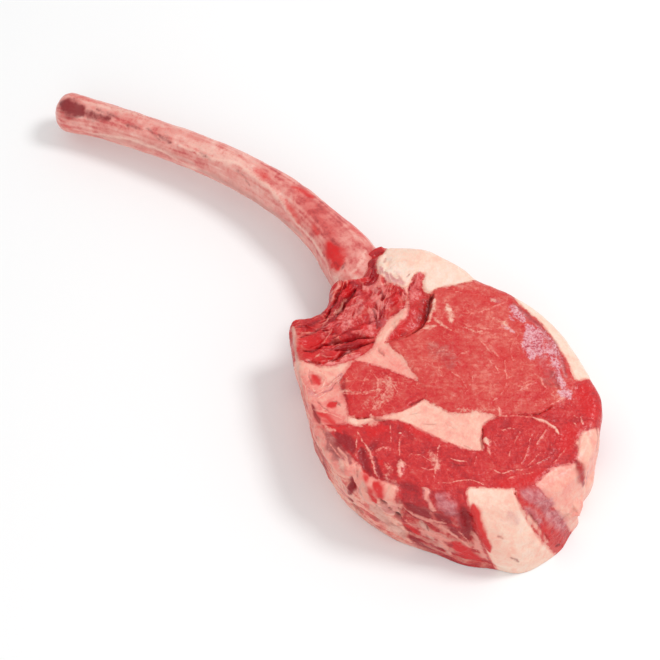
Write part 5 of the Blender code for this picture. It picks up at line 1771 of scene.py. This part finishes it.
# %% Bone material
BONE_SCALE = ((0.0, 150, 40, 44), (0.3, 206, 92, 88), (0.55, 226, 142, 132), (0.8, 236, 172, 160),
              (1.0, 246, 206, 192))
BONE_RED = ink(214, 6, 10)
BONE_DARK_AND_SHADE = ink(128, 14, 24)
BONE_PAINTED_SHADE = ink(196, 142, 132)
BONE_LIGHT = ink(244, 200, 184)


def bone_finish():
    paint = Finish("bone")
    mottle = paint.noise(9.0, 3.0, 0.55, 0.5)
    patch = paint.noise(3.6, 3.0, 0.6, 0.3)
    fine = paint.noise(1.3, 2.0, 0.6)
    shade = paint.sum(paint.varied(0.66, (mottle, 0.16), (patch, 0.10), (fine, 0.05)),
                      paint.span(paint.fact("streak"), 0.2, 0.8, -0.12, 0.12),
                      paint.times(paint.fact("rosy"), -0.34))
    # Painted shade: the underside of the bone is mixed towards grey
    colour = paint.mix(paint.times(paint.fact("painted_side_shade"), 0.8), paint.ramp(shade, BONE_SCALE), BONE_PAINTED_SHADE)
    broken = paint.sum(paint.swing(patch, 0.22), paint.swing(fine, 0.12))
    stains_and_painted_light = (("pale", BONE_LIGHT, 0.85), ("bright", BONE_RED, 0.92), ("dark", BONE_DARK_AND_SHADE, 0.92))
    for kind, tint, most in stains_and_painted_light:
        colour = paint.coat(colour, paint.sum(paint.fact(kind), broken), 0.0, 1.15, most, tint)
    rough = paint.bump(fine, 0.10, paint.bump(mottle, 0.25))
    paint.set(base_color=colour, roughness=paint.span(mottle, 0.35, 0.65, 0.36, 0.52), normal=rough,
              specular_ior_level=0.35, coat_weight=0.15, coat_roughness=0.25, subsurface_weight=0.12,
              subsurface_scale=0.0025, subsurface_radius=(1.0, 0.5, 0.4))
    return paint.material

# %% [markdown]
# ## Relief on the swept bone
# What the tree makes becomes a plain mesh, and its vertices then move along their normals by the
# streaks and the placed marks. That is easier outside the tree, where the marks already are.

# %% Grow the bone and give it relief
BONE_LUMPS = (0.35, 9.0)
BONE_GRAIN = (0.10, 1.6)
STREAK_HEIGHT = 0.22
STREAK_LENGTH = 14.0
STREAKS_ROUND = 3.0
COLOUR_STREAKS = (0.6, 2.2, 2.2)
BONE_SHARP = math.radians(60)


def column(mesh, name, size=1):
    """One number or vector of every vertex of a mesh."""
    values = np.empty(len(mesh.vertices) * size)
    if name in ("co", "normal"):
        mesh.vertices.foreach_get(name, values)
    else:
        mesh.attributes[name].data.foreach_get("value", values)
    return values.reshape(-1, size) if size > 1 else values


def lumpy(places, height, size):
    """Low lumps of a height and a size."""
    return height * noise_at(places / size)


bone_values = {"Sides": BONE_SIDES, "Squareness": BONE_SQUARENESS, "Finish": bone_finish()}
bone_mesh = grown(bone_spine(), sweep_tree(), bone_values)
bone_mesh.name = "rib_bone_look"
face_outwards(bone_mesh)
bone_places, bone_outs = column(bone_mesh, "co", 3), column(bone_mesh, "normal", 3)
bone_turns = column(bone_mesh, "turn")
streaks = np.column_stack([column(bone_mesh, "along") / STREAK_LENGTH,
                           STREAKS_ROUND * np.cos(bone_turns), STREAKS_ROUND * np.sin(bone_turns)])
bone_rise = lumpy(bone_places, *BONE_LUMPS) + STREAK_HEIGHT * noise_at(streaks)
bone_rise += lumpy(bone_places, *BONE_GRAIN)
bone_spots = wobbled(bone_places)
bone_rise += marked(bone_spots, BONE_FORM_STROKES, adding=True)
bone_facts = {kind: marked(bone_spots, lines) for kind, lines in BONE_STROKES.items()}
bone_facts["streak"] = noise_at(streaks * COLOUR_STREAKS) * 0.5 + 0.5
for name in ("middle", "way", "half_width", "half_height", "along", "turn"):
    bone_mesh.attributes.remove(bone_mesh.attributes[name])
bone_places += bone_outs * bone_rise[:, None]
bone_look = finished_object(bone_mesh, bone_places, bone_facts, BONE_SHARP)
print("bone triangles:", triangles(bone_mesh), "materials:", [slot.name for slot in bone_mesh.materials])
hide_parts("rib_bone")
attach(bone_look, "root")

# %% [markdown]
# ## Floor, light and surroundings
# The photograph has a plain white ground and soft light from above, a little from behind and the
# right. A strong lamp there gives the wet surface its highlights, a wider and weaker one in front
# keeps the side of the steak readable, and an even pale sky fills the rest.

# %% Studio
FLOOR_DROP = 0.0004
FLOOR_SIZE = 6.0
FLOOR_COLOUR = (0.93, 0.93, 0.93, 1.0)
LAMP_AIM = Vector((0.05, 0.0, 0.0))
LAMPS = {"key": ((0.45, 0.75, 1.35), 0.5, 10.0), "front": ((0.55, -1.0, 0.9), 1.2, 3.0)}
SKY_COLOUR = (1.0, 1.0, 1.0, 1.0)
SKY_STRENGTH = 0.72


def lamp(name, place, size, power):
    """A round lamp that shines at the steak."""
    data = bpy.data.lights.new(name, "AREA")
    data.shape = "DISK"
    data.size = size
    data.energy = power
    result = added(name, data)
    result.location = place
    result.rotation_euler = (LAMP_AIM - Vector(place)).to_track_quat("-Z", "Y").to_euler()


bpy.ops.mesh.primitive_plane_add(size=FLOOR_SIZE, location=(0.0, 0.0, -FLOOR_DROP))
floor = bpy.context.object
floor.name = "floor"
floor_paint = Finish("floor")
floor_paint.set(base_color=FLOOR_COLOUR, roughness=0.9, specular_ior_level=0.1)
floor.data.materials.append(floor_paint.material)
for name, values in LAMPS.items():
    lamp(name, *values)
world = bpy.data.worlds.new("studio")
world.use_nodes = True
sky = world.node_tree.nodes["Background"]
sky.inputs["Color"].default_value = SKY_COLOUR
sky.inputs["Strength"].default_value = SKY_STRENGTH
bpy.context.scene.world = world
bpy.context.scene.view_settings.view_transform = "Standard"
